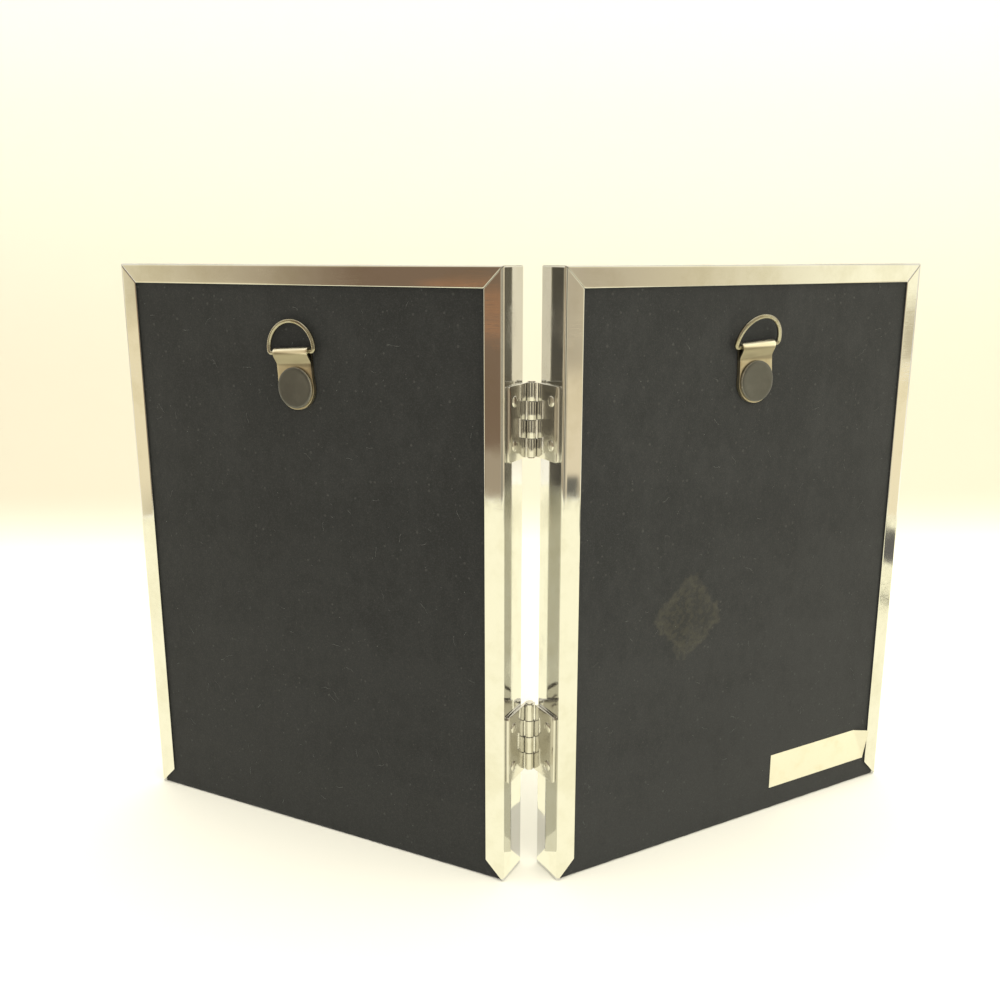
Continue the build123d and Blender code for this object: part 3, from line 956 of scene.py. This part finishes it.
# Things before the walls: middle and reach of their share of a turn, then of their height, and half glow
ROOM_THINGS = (
    (0.03, 0.03, 0.09, 0.092, (0.59, 0.51, 0.33)),
    (0.104, 0.02, 0.16, 0.024, (0.23, 0.125, 0.066)),
    (0.104, 0.025, 0.02, 0.03, (0.26, 0.21, 0.14)),
    (0.413, 0.022, 0.062, 0.06, (0.54, 0.46, 0.31)),
    (0.413, 0.006, 0.007, 0.016, (0.1, 0.095, 0.075)),
    (0.485, 0.014, 0.06, 0.09, (0.63, 0.55, 0.36)),
    (0.485, 0.01, 0.148, 0.026, (0.41, 0.36, 0.24)),
    (0.25, 0.03, 0.1, 0.25, (0.1, 0.09, 0.07)),
    (0.178, 0.008, 0.35, 0.4, (0.8, 0.76, 0.55)),
    (0.322, 0.008, 0.35, 0.4, (0.8, 0.76, 0.55)),
)
# Dark things on the table, from x to x and from y to y, and half their glow and the table's
TABLE_THINGS = ((0.452, 0.548, -0.2, 0.03), (0.365, 0.38, -0.06, 0.01))
DARK_GLOW = (0.09, 0.085, 0.075)
TABLE_GLOW = (0.74, 0.7, 0.49)
TABLE_RIMS = (0.03, 0.59)


def glow_material(name, build):
    """Light-giving material for the studio cards."""
    material = bpy.data.materials.new(name)
    material.use_nodes = True
    material.node_tree.nodes.clear()
    parts = Tree(material.node_tree)
    glow = parts.out("ShaderNodeEmission", {"Strength": 2.0, "Color": build(parts)})
    parts.add("ShaderNodeOutputMaterial", {"Surface": glow})
    return material


def only_reflected(card, glow):
    """Lights a studio card, and leaves it to reflections alone."""
    card.data.materials.append(glow)
    card.visible_camera = False
    card.visible_diffuse = False
    card.visible_shadow = False
    card.visible_transmission = False


def ramp(parts, value, stops):
    """Colour that goes through the given stops."""
    made = parts.add("ShaderNodeValToRGB", {"Fac": value})
    elements = made.color_ramp.elements
    while len(elements) < len(stops):
        elements.new(1.0)
    for element, (position, colour) in zip(elements, stops):
        element.position = position
        element.color = rgba(colour)
    return made.outputs["Color"]


def room_colours(parts):
    """Beige walls and brown things of the room in front of the frame, by direction."""
    place = parts.out("ShaderNodeTexCoord", output="Object")
    share = parts.out("ShaderNodeTexGradient", {"Vector": place}, 1, gradient_type="RADIAL")
    height = parts.axis(place, "Z")
    colour = ramp(parts, share, ROOM_WALLS)
    for turn, turn_reach, rise, rise_reach, tint in ROOM_THINGS:
        near = parts.spread(parts.away(share, turn), turn_reach * 0.5, turn_reach, 1.0, 0.0)
        level = parts.spread(parts.away(height, rise), rise_reach * 0.6, rise_reach, 1.0, 0.0)
        colour = parts.mixed(parts.product(near, level), colour, tint)
    return colour


class PHOTOFRAME_OT_stage(bpy.types.Operator):
    """Make the pale floor, the soft light and the camera"""

    bl_idname = "photo_frame.stage"
    bl_label = "Studio"

    def execute(self, context):
        settings = context.scene.photo_frame_studio
        self.floor(settings)
        self.room()
        self.table()
        self.light(context.scene, settings)
        self.camera(context.scene, settings)
        return {"FINISHED"}

    def floor(self, settings):
        """Table top that sweeps up into a pale backdrop, whose foot is painted a darker, warmer shade that
        fades upwards, for the wall getting less light.
        """
        reach, start, bend = 4.0, 0.36, 0.35
        finish = Finish("pale_floor", Roughness=0.9, Specular_IOR_Level=0.1)
        # Painted shade: behind the floor's end and near the table, the backdrop takes the darker, warmer
        # tint, fading towards the floor's tint higher up.
        behind = finish.spread(finish.axis(finish.place, "Y"), start - 0.03, start + 0.12)
        low = finish.spread(finish.axis(finish.place, "Z"), 0.05, 0.5, 1.0, 0.25)
        finish.coloured(finish.product(behind, low), settings.floor_tint, settings.backdrop_shade_tint)
        track = [(-reach, 0.0), (start, 0.0)]
        for turn in even_steps(math.pi / 2, 24)[1:]:
            track.append((start + bend * math.sin(turn), bend - bend * math.cos(turn)))
        track.append((start + bend, reach))
        points = [(x, y, z) for y, z in track for x in (-reach, reach)]
        floor = from_faces("floor", points, grid_faces(len(track), 2))
        floor.data.shade_smooth()
        floor.data.materials.append(finish.material)

    def room(self):
        """Curved card where the table ends, seen only in the polished metal."""
        start, end = ROOM_ENDS
        count = 64
        points = []
        for turn in even_steps(end - start, count):
            spoke = (ROOM_RADIUS * math.cos(start + turn), ROOM_RADIUS * math.sin(start + turn))
            points += [(*spoke, 0.0), (*spoke, ROOM_TOP)]
        card = from_faces("room_card", points, grid_faces(count + 1, 2))
        only_reflected(card, glow_material("room_glow", room_colours))

    def table(self):
        """Lit table with a few dark things, seen only in the polished metal."""
        spots = [(x, y, 0.002) for a, b, c, d in TABLE_THINGS for x, y in ((a, c), (b, c), (b, d), (a, d))]
        things = from_faces("table_things", spots, [(0, 1, 2, 3), (4, 5, 6, 7)])
        only_reflected(things, glow_material("dark_things", lambda parts: rgba(DARK_GLOW)))
        count = 48
        turns = even_steps(math.tau, count)[:-1]
        rims = [(r * math.cos(a), r * math.sin(a), 0.0012) for r in TABLE_RIMS for a in turns]
        faces = [(n, (n + 1) % count, count + (n + 1) % count, count + n) for n in range(count)]
        shine = from_faces("lit_table", rims, faces)
        only_reflected(shine, glow_material("lit_table_glow", lambda parts: rgba(TABLE_GLOW)))

    def light(self, scene, settings):
        scene.world = bpy.data.worlds.new("soft_room")
        scene.world.use_nodes = True
        background = scene.world.node_tree.nodes["Background"]
        background.inputs["Color"].default_value = rgba(SKY)
        background.inputs["Strength"].default_value = settings.light
        for name, place, size, power, tint in LAMPS:
            lamp = bpy.data.lights.new(name, "AREA")
            lamp.size = size
            lamp.energy = power
            lamp.color = tint
            holder = in_scene(name, lamp)
            holder.location = place
            holder.rotation_euler = (-Vector(place)).to_track_quat("-Z", "Y").to_euler()
            holder.visible_glossy = False

    def camera(self, scene, settings):
        lens = bpy.data.cameras.new("camera")
        lens.sensor_width = 36.0
        lens.lens = settings.lens
        lens.clip_start = 0.01
        camera = in_scene("camera", lens)
        camera.location = CAMERA_PLACE
        camera.rotation_euler = CAMERA_TURN
        scene.camera = camera
        scene.view_settings.view_transform = "Standard"


# Pieces


class PHOTOFRAME_OT_rails(bpy.types.Operator):
    """Make the polished mitred rails of both leaves"""

    bl_idname = "photo_frame.rails"
    bl_label = "Rails"

    def execute(self, context):
        settings = context.scene.photo_frame_rails
        channel = self.profile("channel_profile", self.channel_outline(settings.flange_crown / MM))
        foot = self.profile("foot_profile", self.foot_outline())
        up = Matrix.Rotation(math.radians(90), 4, "Y")
        lying = Matrix(((0, 0, 1, 0), (1, 0, 0, 0), (0, 1, 0, 0), (0, 0, 0, 1)))
        rails = (
            ("top_rail", channel, LEAF_WIDTH, Matrix.Translation((LEAF_WIDTH, 0, LEAF_HEIGHT)) @ up @ up),
            ("bottom_rail", foot, LEAF_WIDTH, Matrix.Identity(4)),
            ("outer_stile", channel, LEAF_HEIGHT, Matrix.Translation((LEAF_WIDTH, 0, 0)) @ up.inverted()),
            ("hinge_stile", channel, LEAF_HEIGHT, Matrix.Translation((0, 0, LEAF_HEIGHT)) @ up),
        )
        steel = spangled_steel("key_steel")
        for side in SIDES:
            plate = bright_plate("bright_plate_" + side, side, settings.plate_tint)
            for node, profile, length, place in rails:
                mesh = self.rail(profile, length, settings.edge_round / MM, plate)
                matrix = leaf_matrix(side) @ place @ lying
                name = "polished_" + node
                finished_piece(side, name, mesh, matrix, "frame", "polished_channel", node, plate)
            give(side + "_corner_keys", steel)
        for profile in (channel, foot):
            bpy.data.objects.remove(profile)
        return {"FINISHED"}

    def channel_outline(self, crown):
        """Sheet section, with narrow strips beside its bends and a back flange that dips to the cloth."""
        strip, flat_start = 0.4, 1.6
        corners = (
            ((0, 0), BACK_BEND),
            ((BACK_BEND + strip, 0), 0),
            ((LEAF_DEPTH - FRONT_EDGE - strip, 0), 0),
            *FRONT_CORNERS,
            ((WALL, WALL), BACK_BEND - WALL),
            ((WALL, BACK_FLANGE), 0),
            ((0, BACK_FLANGE), 0),
        )
        walls = rounded(corners)[:-2]
        rise = [flat_start + step for step in even_steps(BACK_FLANGE - flat_start - 0.5, 5)] + [BACK_FLANGE]
        dip = [crown * ((d - flat_start) / (BACK_FLANGE - flat_start)) ** 2 for d in rise]
        inside = [Vector((WALL + y, d)) for d, y in zip(rise, dip)]
        outside = [Vector((y, d)) for d, y in zip(rise, dip)]
        return walls + inside + outside[::-1]

    def foot_outline(self):
        """Sheet section of the bottom rail, which has no back flange."""
        return rounded((((FILLER_BACK, 0), 0), *FRONT_CORNERS, ((FILLER_BACK, WALL), 0)))

    def profile(self, name, outline):
        """Closed curve for a section."""
        return closed_curve(name, [(*place, 0) for place in outline])

    def rail(self, profile, length, edge, material):
        """Mesh of one rail with softened edges."""
        made = from_faces("rail", [(0, 0, 0)], [])
        sizes = {"Length": length, "Mitre_Gap": MITRE_GAP}
        grown(made, mitred_rail_tree(), Profile=profile, **sizes, Material=material)
        softened(made, edge, 2, 38)
        return outward(plain_mesh(made))


class PHOTOFRAME_OT_hinges(bpy.types.Operator):
    """Make the rolled hinge plates and their domed rivets"""

    bl_idname = "photo_frame.hinges"
    bl_label = "Hinges"

    def execute(self, context):
        chrome = bright_plate("hinge_plating", None, context.scene.photo_frame_rails.hinge_tint, 0.09)
        rivet = self.rivet()
        for side in SIDES:
            pieces = []
            for place, height in zip(("lower", "upper"), HINGE_HEIGHTS):
                node = place + "_hinge_plate"
                pieces.append(("rolled_" + node, self.plate(height, KNUCKLES[side]), node))
            pieces.append(("domed_rivets", self.rivets(rivet, chrome), "hinge_rivets"))
            for name, mesh, node in pieces:
                finished_piece(side, name, mesh, leaf_matrix(side), "frame", "hinge_chrome", node, chrome)
        bpy.data.objects.remove(rivet)
        for place in ("lower", "upper"):
            give(place + "_hinge_pin", chrome)
        return {"FINISHED"}

    def rivet(self):
        """Domed rivet along x, with its head outside the plate."""
        head, tail = -PLATE_SEAT - PLATE_THICKNESS, WALL
        outline = [
            (RIVET_HEAD_RADIUS * math.sin(turn), head - RIVET_HEAD_RISE * math.cos(turn))
            for turn in even_steps(math.pi / 2, 7)
        ]
        outline += [(RIVET_SHANK, head), (RIVET_SHANK, tail)]
        outline += [(1.25, tail), (1.22, tail + 0.22), (1.0, tail + 0.35), (0, tail + 0.35)]
        return lathe("rivet", outline, 24, "X")

    def rivets(self, rivet, material):
        """Mesh of the four rivets of one leaf."""
        made = from_faces("rivets", [(0, 0, 0)], [])
        low, high = HINGE_HEIGHTS
        sizes = {"Depth": HINGE_RIVET_DEPTH, "Lower_Hinge": low, "Upper_Hinge": high}
        sizes["Spacing"] = HINGE_RIVET_SPACING
        grown(made, rivet_row_tree(), Rivet=rivet, **sizes, Material=material)
        return outward(plain_mesh(made))

    def plate(self, height, knuckles):
        """Sheet with two tongues rolled round the pin."""
        low, step = height - HINGE_LENGTH / 2, HINGE_LENGTH / 4
        cuts = [low + step * n + s * KNUCKLE_GAP / 2 for n in (1, 2, 3) for s in (-1, 1)]
        lines = sorted({low, low + HINGE_LENGTH, *cuts})
        tops = [low + HINGE_LENGTH - number * step for number in knuckles]
        flat = [PLATE_BACK, 4.5, 7.5, 10.5, PLATE_FRONT]
        path = [(-PLATE_SEAT, y) for y in (*flat, (PLATE_FRONT + PIN_DEPTH) / 2)]
        for turn in even_steps(KNUCKLE_CURL, 40):
            x = -PIN_OFFSET + KNUCKLE_RADIUS * math.cos(turn)
            path.append((x, PIN_DEPTH + KNUCKLE_RADIUS * math.sin(turn)))
        sheet = bmesh.new()
        grid = [[sheet.verts.new((x, y, z)) for z in lines] for x, y in path]
        for i in range(len(path) - 1):
            for j in range(len(lines) - 1):
                middle = (lines[j] + lines[j + 1]) / 2
                wide = lines[j + 1] - lines[j] > KNUCKLE_GAP * 2
                if i < len(flat) - 1 or (wide and any(top - step < middle < top for top in tops)):
                    sheet.faces.new((grid[i][j], grid[i + 1][j], grid[i + 1][j + 1], grid[i][j + 1]))
        ends = [grid[0][0], grid[0][-1]]
        bmesh.ops.bevel(sheet, geom=ends, offset=PLATE_CORNER, segments=6, profile=0.5, affect="VERTICES")
        bmesh.ops.delete(sheet, geom=[v for v in sheet.verts if not v.link_faces], context="VERTS")
        mesh = bpy.data.meshes.new("plate")
        sheet.to_mesh(mesh)
        sheet.free()
        made = in_scene("plate", mesh)
        away_from_wall = -1.0 if sum(face.normal.x for face in list(mesh.polygons)[:4]) > 0 else 1.0
        thickened(made, PLATE_THICKNESS, away_from_wall, even=True)
        softened(made)
        return outward(plain_mesh(made))


class PHOTOFRAME_OT_covers(bpy.types.Operator):
    """Make the flocked covers of both back boards"""

    bl_idname = "photo_frame.covers"
    bl_label = "Flocked covers"

    def execute(self, context):
        settings = context.scene.photo_frame_covers
        for side, shift in (("left", 3.0), ("right", 61.0)):
            cloth = flocked_cloth("flocked_cloth_" + side, side, settings)
            mesh = self.cover(settings.relief / MM, shift)
            place = leaf_matrix(side)
            nodes = ("back", "black_velvet", "velvet_cover")
            cover = finished_piece(side, "flocked_cover", mesh, place, *nodes, cloth, 60)
        return {"FINISHED"}

    def graded(self, low, high):
        """Even divisions with a few closer ones at both ends for the rolled edge."""
        rim, step = [0.0, 0.05, 0.13, 0.24, 0.38, 0.6], 1.3
        span = high - low - 2 * rim[-1]
        count = round(span / step)
        middle = [low + rim[-1] + span * n / count for n in range(1, count)]
        return [low + r for r in rim] + middle + [high - r for r in reversed(rim)]

    def cover(self, relief, shift):
        """Closed cloth shell whose outer face is slightly uneven and rolls round the board's edge."""
        low, high = BOARD_INSET, LEAF_WIDTH - BOARD_INSET
        foot, top = BOARD_FOOT, LEAF_HEIGHT - BOARD_INSET
        across, upward = self.graded(low, high), self.graded(foot, top)
        roll = 0.38
        points = []
        for x in across:
            for z in upward:
                edge = min(x - low, high - x, z - foot, top - z)
                drop = roll - math.sqrt(max(0.0, roll**2 - (roll - min(roll, edge)) ** 2))
                uneven = noise.noise(Vector((x * 0.06, shift, z * 0.06))) * 0.7
                uneven += noise.noise(Vector((x * 0.7, shift + 9, z * 0.7))) * 0.5
                ragged = noise.noise(Vector((x * 0.22, shift, 0))) * 0.14 * smooth(1 - (z - foot) / 2.5)
                points.append((x, COVER_BACK + drop * 0.9 + uneven * relief, max(0.12, z + ragged)))
        columns, rows, outer = len(across), len(upward), len(points)
        points += [(x, COVER_BACK + COVER_THICKNESS, z) for x, _, z in points]
        faces = []
        for face in grid_faces(columns, rows):
            faces += [face, tuple(outer + corner for corner in reversed(face))]
        rim = [i * rows for i in range(columns)]
        rim += [(columns - 1) * rows + j for j in range(1, rows)]
        rim += [i * rows + rows - 1 for i in range(columns - 2, -1, -1)]
        rim += range(rows - 2, 0, -1)
        faces += [(b, a, outer + a, outer + b) for a, b in zip(rim, rim[1:] + rim[:1])]
        return outward(plain_mesh(from_faces("cover", points, faces)))


class PHOTOFRAME_OT_lint(bpy.types.Operator):
    """Scatter lint over the flocked covers"""

    bl_idname = "photo_frame.lint"
    bl_label = "Lint"

    def execute(self, context):
        settings = context.scene.photo_frame_covers
        fluff = lint_fluff("lint_fluff", settings.lint)
        low, high = BACK_FLANGE + 2.0, LEAF_WIDTH - BACK_FLANGE - 2.0
        foot, top = 3.0, LEAF_HEIGHT - BACK_FLANGE - 2.0
        corners = [(low, 0, foot), (high, 0, foot), (high, 0, top), (low, 0, top)]
        shares = {"Fibres": settings.fibre_share, "Specks": settings.speck_share}
        lift = Matrix.Translation((0, COVER_BACK - 0.03, 0))
        for number, side in enumerate(SIDES):
            made = from_faces("lint", corners, [(0, 1, 2, 3)])
            grown(made, lint_tree(), **shares, Seed=settings.seed + number, Material=fluff)
            place = leaf_matrix(side) @ lift
            finished_piece(side, "lint", plain_mesh(made), place, "back", "black_velvet", None, fluff, 180)
        return {"FINISHED"}


class PHOTOFRAME_OT_hangers(bpy.types.Operator):
    """Make the folded straps, their rings and the rivet caps"""

    bl_idname = "photo_frame.hangers"
    bl_label = "Hangers"

    def execute(self, context):
        settings = context.scene.photo_frame_hangers
        wire = ring_wire("ring_wire", settings.ring_tint)
        for side in SIDES:
            matrix = leaf_matrix(side) @ hanger_matrix(side)
            brass = strap_metal("strap_metal_" + side, side, settings.strap_tint)
            nodes = ("strap", "strap_metal", "hanger_strap")
            finished_piece(side, "folded_strap", self.strap(), matrix, *nodes, brass, 50)
            shift, tilt = HANGER_PLACES[side][3:]
            bar = Matrix.Translation((shift, -BAR_ABOVE_CLOTH, BAR_ABOVE_RIVET))
            bar = bar @ Matrix.Rotation(math.radians(tilt), 4, "X")
            ring = self.ring(settings.wire_radius / MM, wire)
            nodes = ("ring", "ring_wire", "hanger_ring")
            finished_piece(side, "wire_ring", ring, matrix @ bar, *nodes, wire, 80)
            centre = matrix @ Vector((0, -CAP_TOP, 0))
            lacquer = lacquered_cap("lacquered_cap_" + side, settings.cap_tint, centre)
            nodes = ("back", "cap_metal", "rivet_cap")
            finished_piece(side, "pressed_cap", self.cap(), matrix, *nodes, lacquer, 50)
            give(side + "_hanger_rivet", brass)
        return {"FINISHED"}

    def strap_path(self):
        """Middle of the strap's sheet as (height above the cloth, distance up), from end to end."""
        turns = (math.radians(degrees) for degrees in (0, 10, 20, 30, 42, 54, 66, 78, 90))
        end = [-STRAP_END_RADIUS * math.cos(turn) for turn in turns]
        path = [(BACK_LAYER, z) for z in (*end, 3.0, 6.0, 9.0, 11.0)]
        for turn in even_steps(math.pi, 12):
            height = BAR_ABOVE_CLOTH - LOOP_RADIUS * math.cos(turn)
            path.append((height, BAR_ABOVE_RIVET + LOOP_RADIUS * math.sin(turn)))
        loop_front = BAR_ABOVE_CLOTH + LOOP_RADIUS
        for share in even_steps(1.0, 10)[1:]:
            height = FRONT_LAYER + (loop_front - FRONT_LAYER) * (1 - smooth(share))
            path.append((height, BAR_ABOVE_RIVET - 0.2 - 3.9 * share))
        return path + [(FRONT_LAYER, z) for z in (6.5, 4.0, 1.8, *reversed(end))]

    def half_width(self, z):
        """Half of the strap's width at a height, wider at its round end."""
        if z <= 0:
            return math.sqrt(max(0.0, STRAP_END_RADIUS**2 - z * z))
        return STRAP_END_RADIUS + (STRAP_HALF_WIDTH - STRAP_END_RADIUS) * smooth(z / 3.2)

    def strap(self):
        """Sheet that goes from its round end up, round the bar and down to its other round end."""
        columns = 14
        rows = []
        for height, z in self.strap_path():
            half = self.half_width(z)
            shares = [2 * n / columns - 1 for n in range(columns + 1)] if half >= 0.01 else [0.0]
            rows.append([(half * share, -height, z) for share in shares])
        made = skinned("strap", rows)
        thickened(made, STRAP_THICKNESS, 0.0)
        softened(made)
        hole = made.modifiers.new("hole", "BOOLEAN")
        hole.operation = "DIFFERENCE"
        hole.object = lathe("drill", [(0, -6), (STRAP_HOLE, -6), (STRAP_HOLE, 2), (0, 2)], 32, "Y")
        return outward(plain_mesh(made, hole.object))

    def ring(self, radius, material):
        """Wire bent round with a straight bar, two small corners and a high bow."""
        corner = RING_HEIGHT - RING_HALF_WIDTH
        bar_end = RING_HALF_WIDTH - corner
        quarter = even_steps(math.pi / 2, 10)
        line = [(bar_end * share, 0) for share in (-0.66, -0.33, 0, 0.33, 0.66)]
        line += [(bar_end + corner * math.sin(a), corner - corner * math.cos(a)) for a in quarter]
        for turn in even_steps(math.pi, 72)[1:-1]:
            line.append((RING_HALF_WIDTH * math.cos(turn), corner + RING_HALF_WIDTH * math.sin(turn)))
        line += [(-bar_end - corner * math.cos(a), corner - corner * math.sin(a)) for a in quarter]
        path = closed_curve("ring_path", [(x, 0, z) for x, z in line])
        made = from_faces("ring", [(0, 0, 0)], [])
        grown(made, bent_wire_tree(), Path=path, Wire_Radius=radius, Material=material)
        return outward(plain_mesh(made, path))

    def cap(self):
        """Pressed cap with a rolled rim, a faint dish and a socket for the rivet."""
        dish = [(0, 0.12), (3.0, 0.1), (5.2, 0.05)]
        rim = ((0.9, 0.0), (0.5, 0.02), (0.25, 0.12), (0.08, 0.28), (0.0, 0.5))
        outline = [(r, CAP_TOP - drop) for r, drop in dish]
        outline += [(CAP_RADIUS - inset, CAP_TOP - drop) for inset, drop in rim]
        foot = ((0.0, 0.2), (0.08, 0.06), (0.25, 0.0))
        outline += [(CAP_RADIUS - inset, CAP_LOW + rise) for inset, rise in foot]
        outline += [(CAP_SOCKET, CAP_LOW), (CAP_SOCKET, CAP_LOW + 0.5), (0, CAP_LOW + 0.5)]
        return outward(plain_mesh(lathe("cap", [(r, -height) for r, height in outline], 96, "Y")))


class PHOTOFRAME_OT_label(bpy.types.Operator):
    """Make the bare paper label with its bent corner"""

    bl_idname = "photo_frame.label"
    bl_label = "Label"

    def execute(self, context):
        settings = context.scene.photo_frame_label
        stock = paper("label_paper", settings.label_tint, "right")
        mesh, place = self.sheet(settings.lift), leaf_matrix("right")
        finished_piece("right", "paper_label", mesh, place, "back", "label_paper", "label", stock, 60)
        return {"FINISHED"}

    def sheet(self, lift):
        """Paper that lies on the cloth up to a slanting crease and lifts off beyond it."""
        length, height = LABEL_SIZE
        crease_foot = Vector((length, 0, 0))
        run = Vector((-LABEL_FOLD, 0, height)).normalized()
        columns, rows = 72, 20
        points = []
        for i in range(columns + 1):
            for j in range(rows + 1):
                flat = Vector((length * i / columns, 0, height * j / rows))
                beyond = run.cross(flat - crease_foot).y
                wave = noise.noise(Vector((flat.x * 0.12, 4, flat.z * 0.15))) * 0.03
                if beyond > 0:
                    turn = Matrix.Rotation(-lift * smooth(beyond / 0.9 + 0.15), 3, run)
                    flat = crease_foot + turn @ (flat - crease_foot)
                depth = COVER_BACK - 0.06 + flat.y - abs(wave)
                points.append((LABEL_START[0] + flat.x, depth, LABEL_START[1] + flat.z))
        made = from_faces("label", points, grid_faces(columns + 1, rows + 1))
        thickened(made, LABEL_THICKNESS, 1.0)
        return outward(plain_mesh(made))


class PHOTOFRAME_OT_inside(bpy.types.Operator):
    """Give the glass, picture paper, filler card and boards their finishes"""

    bl_idname = "photo_frame.inside"
    bl_label = "Glass and backing"

    def execute(self, context):
        glass = clear_pane("picture_glass")
        card = black_card("board_card")
        insert = paper("insert_paper", (0.8, 0.78, 0.73), None, 700.0)
        for side in SIDES:
            give(side + "_glass", glass)
            give(side + "_picture_insert", insert)
            give(side + "_filler_card", fluted_card("filler_card_" + side, side))
            give(side + "_back_board", card)
        return {"FINISHED"}


class PHOTOFRAME_PT_panel(bpy.types.Panel):
    """Lists the pieces of the photo frame"""

    bl_idname = "PHOTOFRAME_PT_panel"
    bl_label = "Photo Frame"
    bl_space_type = "VIEW_3D"
    bl_region_type = "UI"
    bl_category = "Photo Frame"

    def draw(self, context):
        for group in SETTINGS:
            settings = getattr(context.scene, group)
            box = self.layout.box()
            for name in settings.__annotations__:
                box.prop(settings, name)
        for operator in OPERATORS:
            self.layout.operator(operator.bl_idname)


SETTINGS = {
    "photo_frame_rails": RailSettings,
    "photo_frame_covers": CoverSettings,
    "photo_frame_hangers": HangerSettings,
    "photo_frame_label": LabelSettings,
    "photo_frame_studio": StudioSettings,
}
OPERATORS = (
    PHOTOFRAME_OT_stage,
    PHOTOFRAME_OT_rails,
    PHOTOFRAME_OT_hinges,
    PHOTOFRAME_OT_covers,
    PHOTOFRAME_OT_lint,
    PHOTOFRAME_OT_hangers,
    PHOTOFRAME_OT_label,
    PHOTOFRAME_OT_inside,
)


def register():
    for made in (*SETTINGS.values(), *OPERATORS, PHOTOFRAME_PT_panel):
        bpy.utils.register_class(made)
    for name, group in SETTINGS.items():
        setattr(bpy.types.Scene, name, PointerProperty(type=group))


def unregister():
    for name in SETTINGS:
        delattr(bpy.types.Scene, name)
    for made in (PHOTOFRAME_PT_panel, *reversed(OPERATORS), *SETTINGS.values()):
        bpy.utils.unregister_class(made)


def main():
    register()
    bpy.ops.photo_frame.stage()
    bpy.ops.photo_frame.rails()
    bpy.ops.photo_frame.hinges()
    bpy.ops.photo_frame.covers()
    bpy.ops.photo_frame.lint()
    bpy.ops.photo_frame.hangers()
    bpy.ops.photo_frame.label()
    bpy.ops.photo_frame.inside()


if __name__ == "__main__":
    main()
